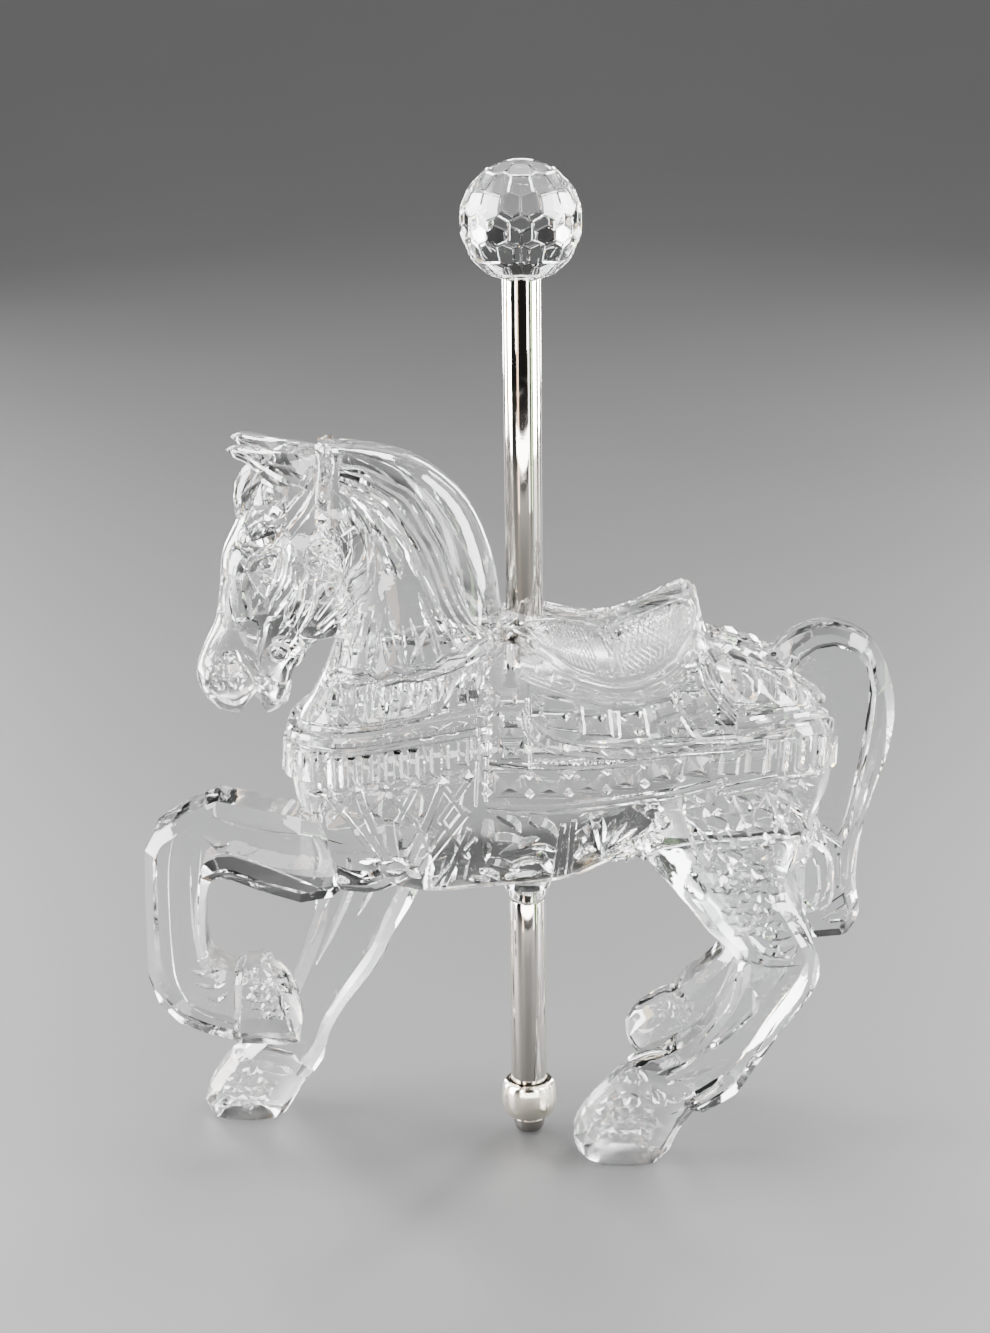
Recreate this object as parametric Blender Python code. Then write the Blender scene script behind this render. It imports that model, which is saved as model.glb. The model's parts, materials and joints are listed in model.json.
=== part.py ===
"""Clear acrylic carousel horse figurine on a chrome rod, with a cut ball above it and a turned bead below.

The horse's head points to -X and its left side faces -Y. The floor is z = 0 and the rod's axis is x = y = 0.
Places and sizes on the horse are shares of its own height, in hundredths, and SHARE turns them into metres.
"""

import math

import bmesh
import bpy
from mathutils import Vector
from mathutils.bvhtree import BVHTree

# Driving dimensions in metres
MM = 0.001
HORSE_HEIGHT = 165.0 * MM
BALL_DIAMETER = 25.4 * MM
BALL_CENTRE_HEIGHT = 209.7 * MM
ROD_DIAMETER = 8.2 * MM
BEAD_DIAMETER = 12.6 * MM
BEAD_HEIGHT = 12.4 * MM
FOOT_DIAMETER = 5.2 * MM

# Fits in metres
FIT_GAP = 0.3 * MM
BACK_BORE_DEPTH = 12.0 * MM
BALL_SOCKET_DEPTH = 3.5 * MM
BEAD_SOCKET_DEPTH = 4.5 * MM
SPIGOT_DIAMETER = 5.6 * MM
SPIGOT_LENGTH = 2.4 * MM
ROD_EDGE = 0.35 * MM
BOSS_LENGTH = 4.0 * MM
BOSS_TOP_DIAMETER = 11.0 * MM

# Proportions of the horse, in hundredths of its height
SHARE = HORSE_HEIGHT / 100.0
SADDLE_TOP_AT_ROD = 75.0
BOSS_RIM_HEIGHT = 34.9
BOSS_ROOT_HEIGHT = 44.0
PROUD = 0.55
SINK = 1.5
LEG_CHAMFER = 0.3
LEFT = -1.0
RIGHT = 1.0
TAIL_CHAMFER = 0.16
SADDLE_LIP = 0.5
SADDLE_TUCK_WIDTH = 0.6
SADDLE_TUCK_DROP = 1.5
CHEST_RADIUS = 10.0
NARROWEST = 0.05

# Mesh fineness
TRUNK_SIDES = 16
NECK_SIDES = 12
HOOF_SIDES = 12
SADDLE_SIDES = 6
ROUND_SIDES = 20
RING_STEPS = 2
HIDDEN_SIDE_SHARE = 0.6
RAY_START = 2.0 * HORSE_HEIGHT
NORMAL_SPAN = 1.2 * SHARE

ACRYLIC = (0.93, 0.95, 0.96, 1.0)
CHROME = (0.62, 0.61, 0.60, 1.0)
PALE_NICKEL = (0.78, 0.73, 0.62, 1.0)

# Each station of a loft holds the x and z of its back edge, the x and z of its front edge, its half width
# and how far its middle lies to the side, all in hundredths of the horse's height.
TRUNK = (
    (-31.2, 58.0, -31.2, 53.0, 3.2, 0.0),
    (-29.4, 63.0, -29.6, 47.5, 7.6, 0.0),
    (-24.0, 67.5, -24.5, 40.4, 9.8, 0.0),
    (-15.0, 71.0, -15.0, 36.8, 10.7, 0.0),
    (-5.0, 72.5, -5.0, 37.2, 11.0, 0.0),
    (5.0, 72.5, 5.0, 38.2, 11.0, 0.0),
    (14.0, 72.8, 14.0, 42.0, 11.0, 0.0),
    (23.0, 72.6, 23.0, 44.0, 10.9, 0.0),
    (31.5, 69.6, 32.0, 44.6, 10.2, 0.0),
    (37.5, 65.0, 38.0, 47.0, 8.0, 0.0),
    (40.4, 59.0, 40.6, 51.5, 4.0, 0.0),
)
NECK = (
    (-1.5, 66.0, -31.0, 53.5, 9.6, 0.0),
    (-2.9, 75.5, -29.4, 61.8, 8.8, 0.0),
    (-4.1, 83.5, -26.0, 69.5, 7.4, 0.0),
    (-7.3, 91.1, -24.4, 75.5, 6.4, 0.0),
    (-13.3, 96.6, -24.6, 80.0, 5.8, 0.0),
    (-20.0, 98.6, -27.4, 82.0, 5.4, 0.0),
    (-26.5, 98.9, -30.5, 84.0, 4.6, 0.0),
)
HEAD = (
    (-31.0, 98.2, -22.0, 93.0, 3.8, 0.0),
    (-34.6, 95.0, -21.4, 85.0, 5.6, 0.0),
    (-37.0, 89.4, -22.6, 77.6, 6.2, 0.0),
    (-39.4, 84.4, -26.2, 72.8, 5.9, 0.0),
    (-39.9, 80.4, -29.0, 70.2, 5.0, 0.0),
    (-40.6, 75.4, -30.8, 67.2, 4.2, 0.0),
    (-42.6, 71.0, -31.3, 64.2, 4.1, 0.0),
    (-43.6, 67.4, -33.6, 62.0, 3.9, 0.0),
    (-42.4, 64.4, -38.8, 62.0, 2.6, 0.0),
)
NEAR_FORELEG = (
    (-18.0, 53.0, -15.0, 42.6, 2.8, -6.2),
    (-28.6, 50.6, -25.6, 38.0, 4.2, -7.1),
    (-36.7, 52.0, -35.4, 41.0, 4.3, -7.4),
    (-43.2, 51.9, -39.4, 42.6, 4.2, -7.4),
    (-47.6, 49.6, -41.0, 42.6, 4.2, -7.4),
    (-50.2, 45.4, -41.9, 41.4, 4.1, -7.4),
    (-50.6, 39.4, -42.5, 38.4, 3.9, -7.4),
    (-50.5, 32.0, -42.7, 32.6, 3.8, -7.4),
    (-49.7, 26.0, -42.0, 30.0, 3.9, -7.4),
    (-46.9, 21.9, -40.9, 28.6, 4.0, -7.4),
    (-42.4, 19.7, -39.4, 28.0, 3.8, -7.4),
    (-38.4, 18.9, -37.6, 28.0, 3.7, -7.4),
)
NEAR_FORE_HOOF = (
    (-40.6, 19.0, -39.6, 27.6, 3.9, -7.4),
    (-38.8, 18.4, -38.9, 28.4, 4.3, -7.4),
    (-30.4, 18.4, -35.0, 28.6, 4.6, -7.4),
)
FAR_FORELEG = (
    (-29.0, 50.0, -12.0, 46.0, 3.4, 6.3),
    (-29.6, 38.0, -14.5, 35.0, 4.1, 7.1),
    (-29.2, 30.6, -18.3, 28.2, 4.1, 7.4),
    (-31.0, 24.6, -20.2, 23.8, 4.0, 7.4),
    (-33.6, 18.0, -25.2, 17.2, 3.7, 7.4),
    (-36.6, 12.6, -27.9, 12.4, 3.6, 7.4),
    (-39.6, 10.2, -29.2, 8.2, 3.8, 7.4),
    (-41.4, 8.8, -31.4, 5.2, 3.7, 7.4),
)
FAR_FORE_HOOF = (
    (-40.4, 9.8, -30.6, 6.2, 3.8, 7.4),
    (-41.9, 8.8, -31.4, 4.4, 4.5, 7.4),
    (-46.0, 0.4, -34.4, -2.0, 5.2, 7.4),
)
NEAR_HIND_LEG = (
    (17.0, 56.0, 39.4, 56.0, 4.6, -5.2),
    (15.2, 46.0, 40.2, 48.4, 4.9, -5.9),
    (19.0, 40.0, 38.9, 41.0, 4.8, -6.5),
    (24.0, 33.8, 38.3, 33.4, 4.5, -6.8),
    (28.1, 29.4, 38.8, 29.2, 4.3, -6.8),
    (27.1, 25.2, 38.2, 24.8, 4.1, -6.8),
    (24.8, 20.4, 34.2, 19.0, 3.9, -6.8),
    (21.4, 16.7, 30.4, 13.2, 3.8, -6.8),
    (16.6, 14.6, 28.6, 9.6, 4.0, -6.8),
    (13.0, 12.0, 23.6, 6.6, 3.8, -6.8),
)
NEAR_HIND_HOOF = (
    (13.8, 12.6, 24.2, 7.2, 3.9, -6.8),
    (12.0, 10.8, 21.8, 4.8, 4.6, -6.8),
    (5.6, 1.2, 18.4, -2.2, 5.4, -6.8),
)
FAR_HIND_LEG = (
    (19.0, 56.0, 38.8, 55.0, 4.3, 5.6),
    (18.0, 46.0, 39.4, 46.4, 4.5, 6.3),
    (22.0, 38.0, 38.4, 37.4, 4.2, 7.1),
    (27.4, 29.2, 38.0, 30.0, 4.0, 7.4),
    (27.0, 23.8, 35.6, 23.0, 3.8, 7.4),
    (23.0, 20.4, 29.6, 14.4, 3.7, 7.4),
    (19.8, 16.8, 25.8, 10.6, 3.6, 7.4),
)
FAR_HIND_HOOF = (
    (20.6, 17.8, 26.6, 11.6, 3.7, 7.4),
    (18.6, 16.6, 25.2, 9.4, 4.2, 7.4),
    (13.8, 12.2, 17.6, 5.8, 4.5, 7.4),
)
TAIL = (
    (31.0, 68.6, 33.0, 61.0, 2.4, 0.0),
    (35.6, 72.4, 36.4, 60.0, 3.0, 0.0),
    (41.2, 73.5, 37.6, 58.0, 3.2, 0.0),
    (46.6, 70.2, 38.0, 55.0, 3.3, 0.0),
    (48.8, 63.4, 37.6, 52.0, 3.3, 0.0),
    (48.2, 56.4, 37.4, 48.6, 3.3, 0.0),
    (46.4, 50.6, 37.0, 45.0, 3.2, 0.0),
    (44.8, 44.0, 36.0, 41.2, 3.1, 0.0),
    (44.3, 37.6, 34.9, 37.4, 3.0, 0.0),
    (44.9, 33.0, 35.6, 32.8, 2.9, 0.0),
    (43.4, 29.8, 38.4, 29.4, 2.4, 0.0),
)
# Stations of the saddle hold x, its top, its rim's height and its half width
SADDLE_SEAT = (
    (-3.6, 75.2, 73.6, 5.6),
    (-1.6, 76.2, 73.8, 7.4),
    (2.6, 75.2, 72.6, 9.2),
    (6.6, 74.6, 69.8, 10.6),
    (11.6, 74.6, 68.2, 11.6),
    (16.0, 76.4, 69.0, 11.6),
    (19.4, 77.9, 71.4, 10.8),
    (21.6, 78.3, 74.4, 9.6),
    (22.6, 76.6, 74.9, 8.8),
)
SADDLE_SKIRT = (
    (-0.6, 72.4, 69.6, 9.4),
    (4.0, 72.8, 68.2, 11.2),
    (11.8, 73.0, 66.2, 12.2),
    (17.0, 73.6, 67.2, 12.0),
    (21.6, 74.2, 71.2, 10.8),
    (23.4, 73.2, 72.2, 9.2),
)

# Paths on the horse's side hold x, z and the bearing: 0 faces the side and 90 the front of the chest.
CREST_LINE = ((-24.2, 95.6), (-18.4, 94.3), (-13.6, 91.0), (-9.8, 85.0), (-7.6, 79.0), (-5.8, 74.4))
BREAST_ROLL = (
    (-5.2, 63.9, 0.0), (-14.0, 62.2, 0.0), (-22.5, 60.8, 0.0), (-24.0, 60.4, 32.0), (-24.0, 60.0, 62.0),
    (-24.0, 59.8, 90.0),
)
BELT_MIDDLE = ((-2.4, 54.6), (7.7, 54.8), (17.6, 56.6), (30.0, 58.9))
BELT_RISE = 2.7
RUMP_ROLL = ((27.2, 62.4, 0.0), (32.5, 62.3, 0.0), (37.6, 62.6, 0.0))


def curve_at(points, place):
    """Return the point of a smooth curve through the given points, for a place from 0 to 1."""
    spans = len(points) - 1
    span = min(int(place * spans), spans - 1)
    t = place * spans - span
    before = points[max(span - 1, 0)]
    start = points[span]
    end = points[span + 1]
    after = points[min(span + 2, spans)]
    return tuple(
        0.5 * (2.0 * s + (e - b) * t + (2.0 * b - 5.0 * s + 4.0 * e - a) * t * t + (3.0 * s - b - 3.0 * e + a) * t**3)
        for b, s, e, a in zip(before, start, end, after)
    )


def smooth_stations(stations, steps):
    """Return the stations with others between them on a smooth curve."""
    count = (len(stations) - 1) * steps
    return [curve_at(stations, i / count) for i in range(count + 1)]


def rounded_section(sides, power):
    """Return the unit outline of a rounded section as pairs of deep and wide."""
    outline = []
    for i in range(sides):
        angle = 2.0 * math.pi * (i + 0.5) / sides
        deep = math.cos(angle)
        wide = math.sin(angle)
        outline.append((
            math.copysign(abs(deep) ** (2.0 / power), deep),
            math.copysign(abs(wide) ** (2.0 / power), wide),
        ))
    return outline


def chamfered_section(chamfer):
    """Return the unit outline of a flat-sided section with its four edges cut off."""
    inner = 1.0 - chamfer
    return [
        (1.0, -inner), (1.0, inner), (inner, 1.0), (-inner, 1.0),
        (-1.0, inner), (-1.0, -inner), (-inner, -1.0), (inner, -1.0),
    ]


def skinned(rings):
    """Return a closed mesh over rings of points that all hold the same number."""
    bm = bmesh.new()
    loops = [[bm.verts.new(point) for point in ring] for ring in rings]
    count = len(loops[0])
    for low, high in zip(loops, loops[1:]):
        for i in range(count):
            j = (i + 1) % count
            bm.faces.new((low[i], low[j], high[j], high[i]))
    bm.faces.new(list(reversed(loops[0])))
    bm.faces.new(loops[-1])
    bmesh.ops.recalc_face_normals(bm, faces=bm.faces)
    return bm


def loft(stations, section, steps=RING_STEPS):
    """Return a closed mesh through stations that hold the two edges of each ring."""
    rings = []
    for back_x, back_z, front_x, front_z, half_width, aside in smooth_stations(stations, steps):
        middle = Vector(((back_x + front_x) / 2.0, aside, (back_z + front_z) / 2.0))
        reach = Vector(((back_x - front_x) / 2.0, 0.0, (back_z - front_z) / 2.0))
        rings.append([
            (middle + reach * deep + Vector((0.0, half_width * wide, 0.0))) * SHARE for deep, wide in section
        ])
    return skinned(rings)


def saddle_loft(stations):
    """Return a closed mesh of a saddle form that arches over the back between its two rims."""
    rings = []
    for x, top, rim, half_width in smooth_stations(stations, RING_STEPS):
        tuck = half_width * SADDLE_TUCK_WIDTH
        low = rim - SADDLE_TUCK_DROP
        ring = [(x, -tuck, low), (x, -half_width, rim - SADDLE_LIP)]
        for i in range(SADDLE_SIDES + 1):
            angle = math.pi * i / SADDLE_SIDES
            ring.append((x, -half_width * math.cos(angle), rim + (top - rim) * math.sin(angle) ** 0.8))
        ring += [(x, half_width, rim - SADDLE_LIP), (x, tuck, low)]
        rings.append([Vector(point) * SHARE for point in ring])
    return skinned(rings)


class Skin:
    """The outer surface of the horse's plain forms, which its carving lies on."""

    def __init__(self, forms):
        verts = []
        faces = []
        for bm in forms:
            start = len(verts)
            bm.verts.index_update()
            verts += [v.co.copy() for v in bm.verts]
            faces += [[start + v.index for v in f.verts] for f in bm.faces]
        self.tree = BVHTree.FromPolygons(verts, faces)

    def point(self, x, z, bearing, side):
        """Return the surface point seen from a bearing, towards the point x, z of the middle plane."""
        angle = math.radians(bearing)
        outward = Vector((-math.sin(angle), side * math.cos(angle), 0.0))
        middle = Vector((x, 0.0, z))
        hit = self.tree.ray_cast(middle + outward * RAY_START, -outward)[0]
        return hit if hit is not None else middle

    def frame(self, x, z, bearing, side):
        """Return the surface point with its outward direction and its upward direction along the surface."""
        angle = math.radians(bearing)
        along = Vector((math.cos(angle), 0.0, 0.0)) * NORMAL_SPAN
        here = self.point(x, z, bearing, side)
        turn = math.degrees(NORMAL_SPAN * math.sin(angle) / (CHEST_RADIUS * SHARE))
        ahead = self.point(x + along.x, z, bearing - turn, side)
        behind = self.point(x - along.x, z, bearing + turn, side)
        above = self.point(x, z + NORMAL_SPAN, bearing, side)
        below = self.point(x, z - NORMAL_SPAN, bearing, side)
        up = (above - below).normalized()
        out = (ahead - behind).cross(up).normalized()
        if out.dot(Vector((-math.sin(angle), side * math.cos(angle), 0.0))) < 0.0:
            out.negate()
        return here, out, up


ROOF = ((-1.3, -0.6), (0.0, 1.0), (1.3, -0.6))
ROLL = ((-1.0, -1.0), (-0.85, 0.5), (0.0, 1.0), (0.85, 0.5), (1.0, -1.0))
STRAP = ((-1.0, -1.0), (-0.85, 1.0), (0.85, 1.0), (1.0, -1.0))


def leaf(place):
    """Return the share of its width that a leaf-shaped lock has at a place along it."""
    return 0.12 + 0.88 * math.sin(math.pi * min(1.0, place * 0.85 + 0.15)) ** 0.8


def even(_place):
    """Return the same width all along."""
    return 1.0


def swept(skin, path, side, section, half_width, proud=PROUD, rings=6, width=even, sink=SINK):
    """Return a closed mesh of a carved line that follows the skin along a path."""
    path = [tuple(p) + (0.0,) * (3 - len(p)) for p in path]
    if side == RIGHT:
        rings = max(2, round(rings * HIDDEN_SIDE_SHARE))
    frames = []
    for i in range(rings):
        x, z, bearing = curve_at(path, i / (rings - 1))
        frames.append(skin.frame(x * SHARE, z * SHARE, bearing, side))
    loops = []
    for i, (here, out, _up) in enumerate(frames):
        way = (frames[min(i + 1, rings - 1)][0] - frames[max(i - 1, 0)][0]).normalized()
        across = out.cross(way).normalized()
        share = width(i / (rings - 1))
        ring = []
        for wide, high in section:
            rise = high * proud * max(share, 0.4) if high > 0.0 else high * sink
            ring.append(here + (across * wide * half_width * share + out * rise) * SHARE)
        loops.append(ring)
    return skinned(loops)


def stud(skin, place, side, half_along, half_up, layers):
    """Return a closed mesh of a raised stud, whose layers hold how much it narrows and how far it stands out."""
    x, z, bearing = place
    here, out, up = skin.frame(x * SHARE, z * SHARE, bearing, side)
    along = up.cross(out).normalized()
    rings = []
    for narrow, rise in layers:
        half_a = max(half_along - narrow, NARROWEST)
        half_u = max(half_up - narrow, NARROWEST)
        rings.append([
            here + (along * a * half_a + up * u * half_u + out * rise) * SHARE
            for a, u in ((-1, -1), (1, -1), (1, 1), (-1, 1))
        ])
    return skinned(rings)


def round_boss(skin, place, side, radius, layers, sides, squeeze=1.0):
    """Return a closed mesh of a round carved boss, whose layers hold the share of its radius and its rise."""
    x, z, bearing = place
    here, out, up = skin.frame(x * SHARE, z * SHARE, bearing, side)
    along = up.cross(out).normalized()
    rings = []
    for share, rise in layers:
        ring = []
        for i in range(sides):
            angle = 2.0 * math.pi * (i + 0.5) / sides
            flat = along * math.cos(angle) * squeeze + up * math.sin(angle)
            ring.append(here + (flat * radius * share + out * rise) * SHARE)
        rings.append(ring)
    return skinned(rings)


def turned(profile, sides=ROUND_SIDES):
    """Return a closed mesh turned about the rod's axis from pairs of radius and height in metres."""
    rings = []
    for radius, height in profile:
        rings.append([
            Vector((radius * math.cos(a), radius * math.sin(a), height))
            for a in (2.0 * math.pi * i / sides for i in range(sides))
        ])
    return skinned(rings)


def mane(skin, side):
    """Return the strands along the crest and the rows of pointed locks below them, two on the left side."""
    forms = []
    shown = side == LEFT
    for inset in (0.0, 1.7) if shown else (0.0,):
        path = [(x - inset * 0.8, z - inset * 0.75) for x, z in CREST_LINE]
        forms.append(swept(skin, path, side, ROOF, 0.8, 0.6, rings=7))
    row_ends = (((-21.4, 92.0), (-8.2, 74.5), 7, 8.2), ((-21.0, 86.5), (-12.4, 75.5), 5, 8.4))
    if not shown:
        row_ends = (((-21.4, 91.0), (-9.2, 75.5), 5, 10.5),)
    for (start_x, start_z), (end_x, end_z), count, length in row_ends:
        for i in range(count):
            place = i / (count - 1)
            x = start_x + (end_x - start_x) * place + 1.8 * math.sin(math.pi * place)
            z = start_z + (end_z - start_z) * place + 2.6 * math.sin(math.pi * place)
            lean = math.radians(262.0 - 24.0 * place)
            tip_x = x + length * math.cos(lean)
            tip_z = max(z + length * math.sin(lean), 70.6)
            path = ((x, z), ((x + tip_x) / 2.0 + 0.9, (z + tip_z) / 2.0), (tip_x, tip_z))
            forms.append(swept(skin, path, side, ROOF, 1.35, 0.75, rings=4, width=leaf))
    hem = ((-26.2, 69.0), (-21.5, 69.4), (-15.5, 69.8), (-10.2, 71.0), (-5.6, 72.6))
    forms.append(swept(skin, hem, side, ROOF, 0.85, 0.7, rings=9))
    pleats = 9 if shown else 0
    for i in range(pleats):
        x = -26.4 + i * 2.35
        forms.append(swept(skin, ((x, 68.0 + 0.1 * i), (x - 0.5, 64.2 + 0.22 * i)), side, ROOF, 0.85, 0.55, rings=2))
    return forms


def bridle(skin, side):
    """Return the straps of the bridle, its rosette and its bit ring."""
    forms = [
        swept(skin, ((-25.4, 97.6), (-25.6, 93.0), (-25.6, 88.2)), side, STRAP, 1.5, 0.45, rings=4),
        swept(skin, ((-26.6, 92.8), (-29.6, 90.0), (-32.4, 87.2), (-35.6, 86.6)), side, STRAP, 0.75, 0.45, rings=5),
        swept(skin, ((-26.6, 82.6), (-28.6, 77.6), (-31.4, 72.6)), side, STRAP, 0.85, 0.45, rings=5),
        swept(skin, ((-23.6, 88.4), (-21.0, 85.6), (-21.0, 81.4), (-23.0, 78.4)), side, STRAP, 0.75, 0.5, rings=5),
        swept(skin, ((-39.4, 75.6), (-36.0, 74.0), (-32.6, 70.8)), side, STRAP, 0.75, 0.45, rings=5),
        round_boss(skin, (-25.9, 84.7, 0.0), side, 2.9, ((1.0, -SINK), (1.0, 0.5), (0.6, 1.1)), 8),
        round_boss(skin, (-35.6, 72.4, 0.0), side, 1.8, ((1.0, -SINK), (1.0, 0.6), (0.6, 1.0)), 8),
    ]
    return forms


def face(skin, side):
    """Return the eye with its brow, the nostril, the lip and the ear of one side of the head."""
    forms = [
        round_boss(skin, (-33.3, 82.6, 0.0), side, 1.7, ((1.0, -SINK), (0.95, 0.3), (0.55, 0.75)), 8, 0.85),
        swept(skin, ((-36.4, 84.4), (-33.6, 85.6), (-30.8, 83.2)), side, ROOF, 0.75, 0.8, rings=5, width=leaf),
        swept(skin, ((-36.4, 80.4), (-33.4, 79.9), (-30.9, 81.4)), side, ROOF, 0.6, 0.5, rings=5, width=leaf),
        round_boss(skin, (-40.4, 67.0, 0.0), side, 1.5, ((1.0, -SINK), (0.9, 0.5), (0.5, 0.7)), 8, 0.7),
    ]
    if side == LEFT:
        cheek = ((-38.0, 79.6), (-39.0, 74.0), (-40.4, 70.0))
        forms.append(swept(skin, cheek, side, ROOF, 0.7, 0.4, rings=4, width=leaf))
    ear = (
        (-26.0, 97.9, -29.6, 93.0, 1.3, side * 2.6),
        (-30.6, 98.3, -33.0, 93.4, 1.9, side * 3.2),
        (-34.4, 99.1, -35.8, 94.5, 1.7, side * 3.5),
        (-37.0, 99.3, -37.5, 96.2, 1.0, side * 3.6),
        (-38.3, 98.3, -38.2, 97.4, 0.4, side * 3.6),
    )
    forms.append(loft(ear, rounded_section(8, 2.0)))
    return forms


def forelock():
    """Return the tuft that hangs over the forehead."""
    tuft = (
        (-30.6, 97.6, -31.4, 93.4, 2.0, 0.0),
        (-35.0, 96.8, -34.4, 92.0, 2.2, 0.0),
        (-37.6, 93.6, -36.0, 90.4, 1.7, 0.0),
        (-37.4, 90.0, -36.4, 88.8, 0.6, 0.0),
    )
    return loft(tuft, rounded_section(8, 2.0))


def breastplate(skin, side):
    """Return the row of long cut gems and the ribbons below the breast roll of one side."""
    forms = []
    gem = ((0.0, -SINK), (0.0, 0.35), (0.35, 0.85))
    side_gems = 10
    for i in range(side_gems):
        place = i / (side_gems - 1)
        x = -6.6 - 16.6 * place
        forms.append(stud(skin, (x, 59.2 - 1.9 * place, 0.0), side, 0.62, 1.6 + 0.5 * place, gem))
    front_gems = 5
    for i in range(front_gems):
        bearing = 14.0 + 17.0 * i
        forms.append(stud(skin, (-24.0, 57.2 - 0.1 * i, bearing), side, 0.66, 2.1, gem))
    if side != LEFT:
        return forms
    scallops = ((-7.2, 55.6), (-12.0, 54.9), (-17.4, 54.0), (-22.6, 53.4))
    forms.append(swept(skin, scallops, side, ROOF, 0.6, 0.5, rings=7))
    knot = (-14.4, 42.8)
    for x, z in ((-21.0, 52.6), (-16.6, 53.2), (-11.8, 54.0), (-7.6, 52.0)):
        path = ((x, z), ((x + knot[0]) / 2.0 + 0.6, (z + knot[1]) / 2.0), knot)
        forms.append(swept(skin, path, side, ROOF, 1.25, 0.6, rings=4, width=leaf))
    forms.append(round_boss(skin, (*knot, 0.0), side, 1.7, ((1.0, -SINK), (0.9, 0.6), (0.4, 1.0)), 6))
    return forms


def harness(skin, side):
    """Return the girth strap and the belt with their pyramids, and what hangs from the belt, on one side."""
    pyramid = ((0.0, -SINK), (0.0, 0.3), (2.0, 1.15))
    forms = [stud(skin, (-2.5, 67.7, 0.0), side, 1.5, 1.2, ((0.0, -SINK), (0.0, 0.4), (0.6, 0.8)))]
    for z in (63.9, 59.6):
        forms.append(stud(skin, (-2.4, z, 0.0), side, 2.0, 2.0, pyramid))
    studs = 7
    for i in range(studs):
        x, z = curve_at(BELT_MIDDLE, 0.97 * i / (studs - 1))
        forms.append(stud(skin, (x, z, 0.0), side, 2.12 - 0.04 * i, 1.9 - 0.07 * i, pyramid))
    lower = [(x, z - BELT_RISE) for x, z in ((-4.8, 54.7), *BELT_MIDDLE)]
    upper = [(x, z + BELT_RISE * 0.86) for x, z in ((0.2, 54.6), *BELT_MIDDLE[1:])]
    forms.append(swept(skin, lower, side, ROLL, 0.7, 0.9, rings=9))
    forms.append(swept(skin, upper, side, STRAP, 0.4, 0.5, rings=7))
    crescent = ((-0.2, 67.0), (0.4, 63.2), (4.6, 60.5), (11.6, 59.7), (18.0, 60.1), (25.0, 61.6))
    forms.append(swept(skin, crescent, side, ROLL, 0.75, 0.8, rings=8))
    if side != LEFT:
        return forms
    for x, z, tip_x, tip_z in ((-3.4, 50.4, -5.2, 43.6), (0.4, 50.2, 0.0, 42.2), (4.6, 50.2, 5.4, 42.4)):
        path = ((x, z), ((x + tip_x) / 2.0 + 0.4, (z + tip_z) / 2.0), (tip_x, tip_z))
        forms.append(swept(skin, path, side, ROOF, 1.9, 0.8, rings=4, width=leaf))
    pouch = ((1.0, -SINK), (1.0, 0.3), (0.8, 1.0), (0.4, 1.4))
    forms.append(round_boss(skin, (12.6, 48.6, 0.0), side, 2.8, pouch, 10, 1.35))
    return forms


def rump_cloth(skin, side):
    """Return the cloth's border behind the saddle, its leaves, its roll and the gems below, on one side."""
    forms = [
        swept(skin, ((23.4, 70.6), (26.0, 66.2), (29.4, 61.4)), side, ROLL, 0.6, 0.6, rings=5),
        swept(skin, RUMP_ROLL, side, ROLL, 1.15, 1.2, rings=6),
    ]
    for i in range(4 if side == LEFT else 0):
        x = 27.2 + 2.7 * i
        path = ((x, 69.6 - 0.9 * i), (x + 1.3, 67.0 - 0.6 * i), (x + 1.2, 64.6))
        forms.append(swept(skin, path, side, ROOF, 1.3, 0.7, rings=4, width=leaf))
    gem = ((0.0, -SINK), (0.0, 0.35), (0.35, 0.85))
    for i in range(4):
        forms.append(stud(skin, (31.4 + 1.95 * i, 58.2, 0.0), side, 0.75, 2.3, gem))
    return forms


def boss_forms():
    """Return the turned boss under the belly that the lower rod is set in."""
    rim = BOSS_RIM_HEIGHT * SHARE
    return turned((
        (ROD_DIAMETER / 2.0, rim),
        (BOSS_TOP_DIAMETER / 2.0, rim + BOSS_LENGTH),
        (BOSS_TOP_DIAMETER / 2.0, BOSS_ROOT_HEIGHT * SHARE),
    ))


def mouth_cuts():
    """Return the notch between the lips and the line of the mouth on both sides."""
    notch = ((-38.4, 60.6), (-36.0, 64.3), (-33.6, 60.6))
    line = ((-35.9, 62.8), (-36.7, 66.6), (-38.4, 70.6), (-37.8, 70.8), (-35.9, 67.0), (-35.1, 62.8))
    cuts = []
    for outline, near, far in ((notch, -6.0, 6.0), (line, 3.1, 6.0), (line, -6.0, -3.1)):
        cuts.append(skinned([[Vector((x, y, z)) * SHARE for x, z in outline] for y in (near, far)]))
    return cuts


def joined(forms, name, guide=False):
    """Return one object that holds the given forms, as a guide where it only shapes another object."""
    mesh = bpy.data.meshes.new(name)
    whole = bmesh.new()
    for bm in forms:
        piece = bpy.data.meshes.new(name + "_form")
        bm.to_mesh(piece)
        whole.from_mesh(piece)
        bm.free()
        bpy.data.meshes.remove(piece)
    whole.to_mesh(mesh)
    whole.free()
    obj = bpy.data.objects.new(name, mesh)
    bpy.context.collection.objects.link(obj)
    if guide:
        obj.hide_render = True
        obj.display_type = "WIRE"
    return obj


def cut_with(obj, guide):
    """Cut a guide out of an object."""
    modifier = obj.modifiers.new(guide.name, "BOOLEAN")
    modifier.operation = "DIFFERENCE"
    modifier.solver = "EXACT"
    modifier.object = guide


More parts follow.
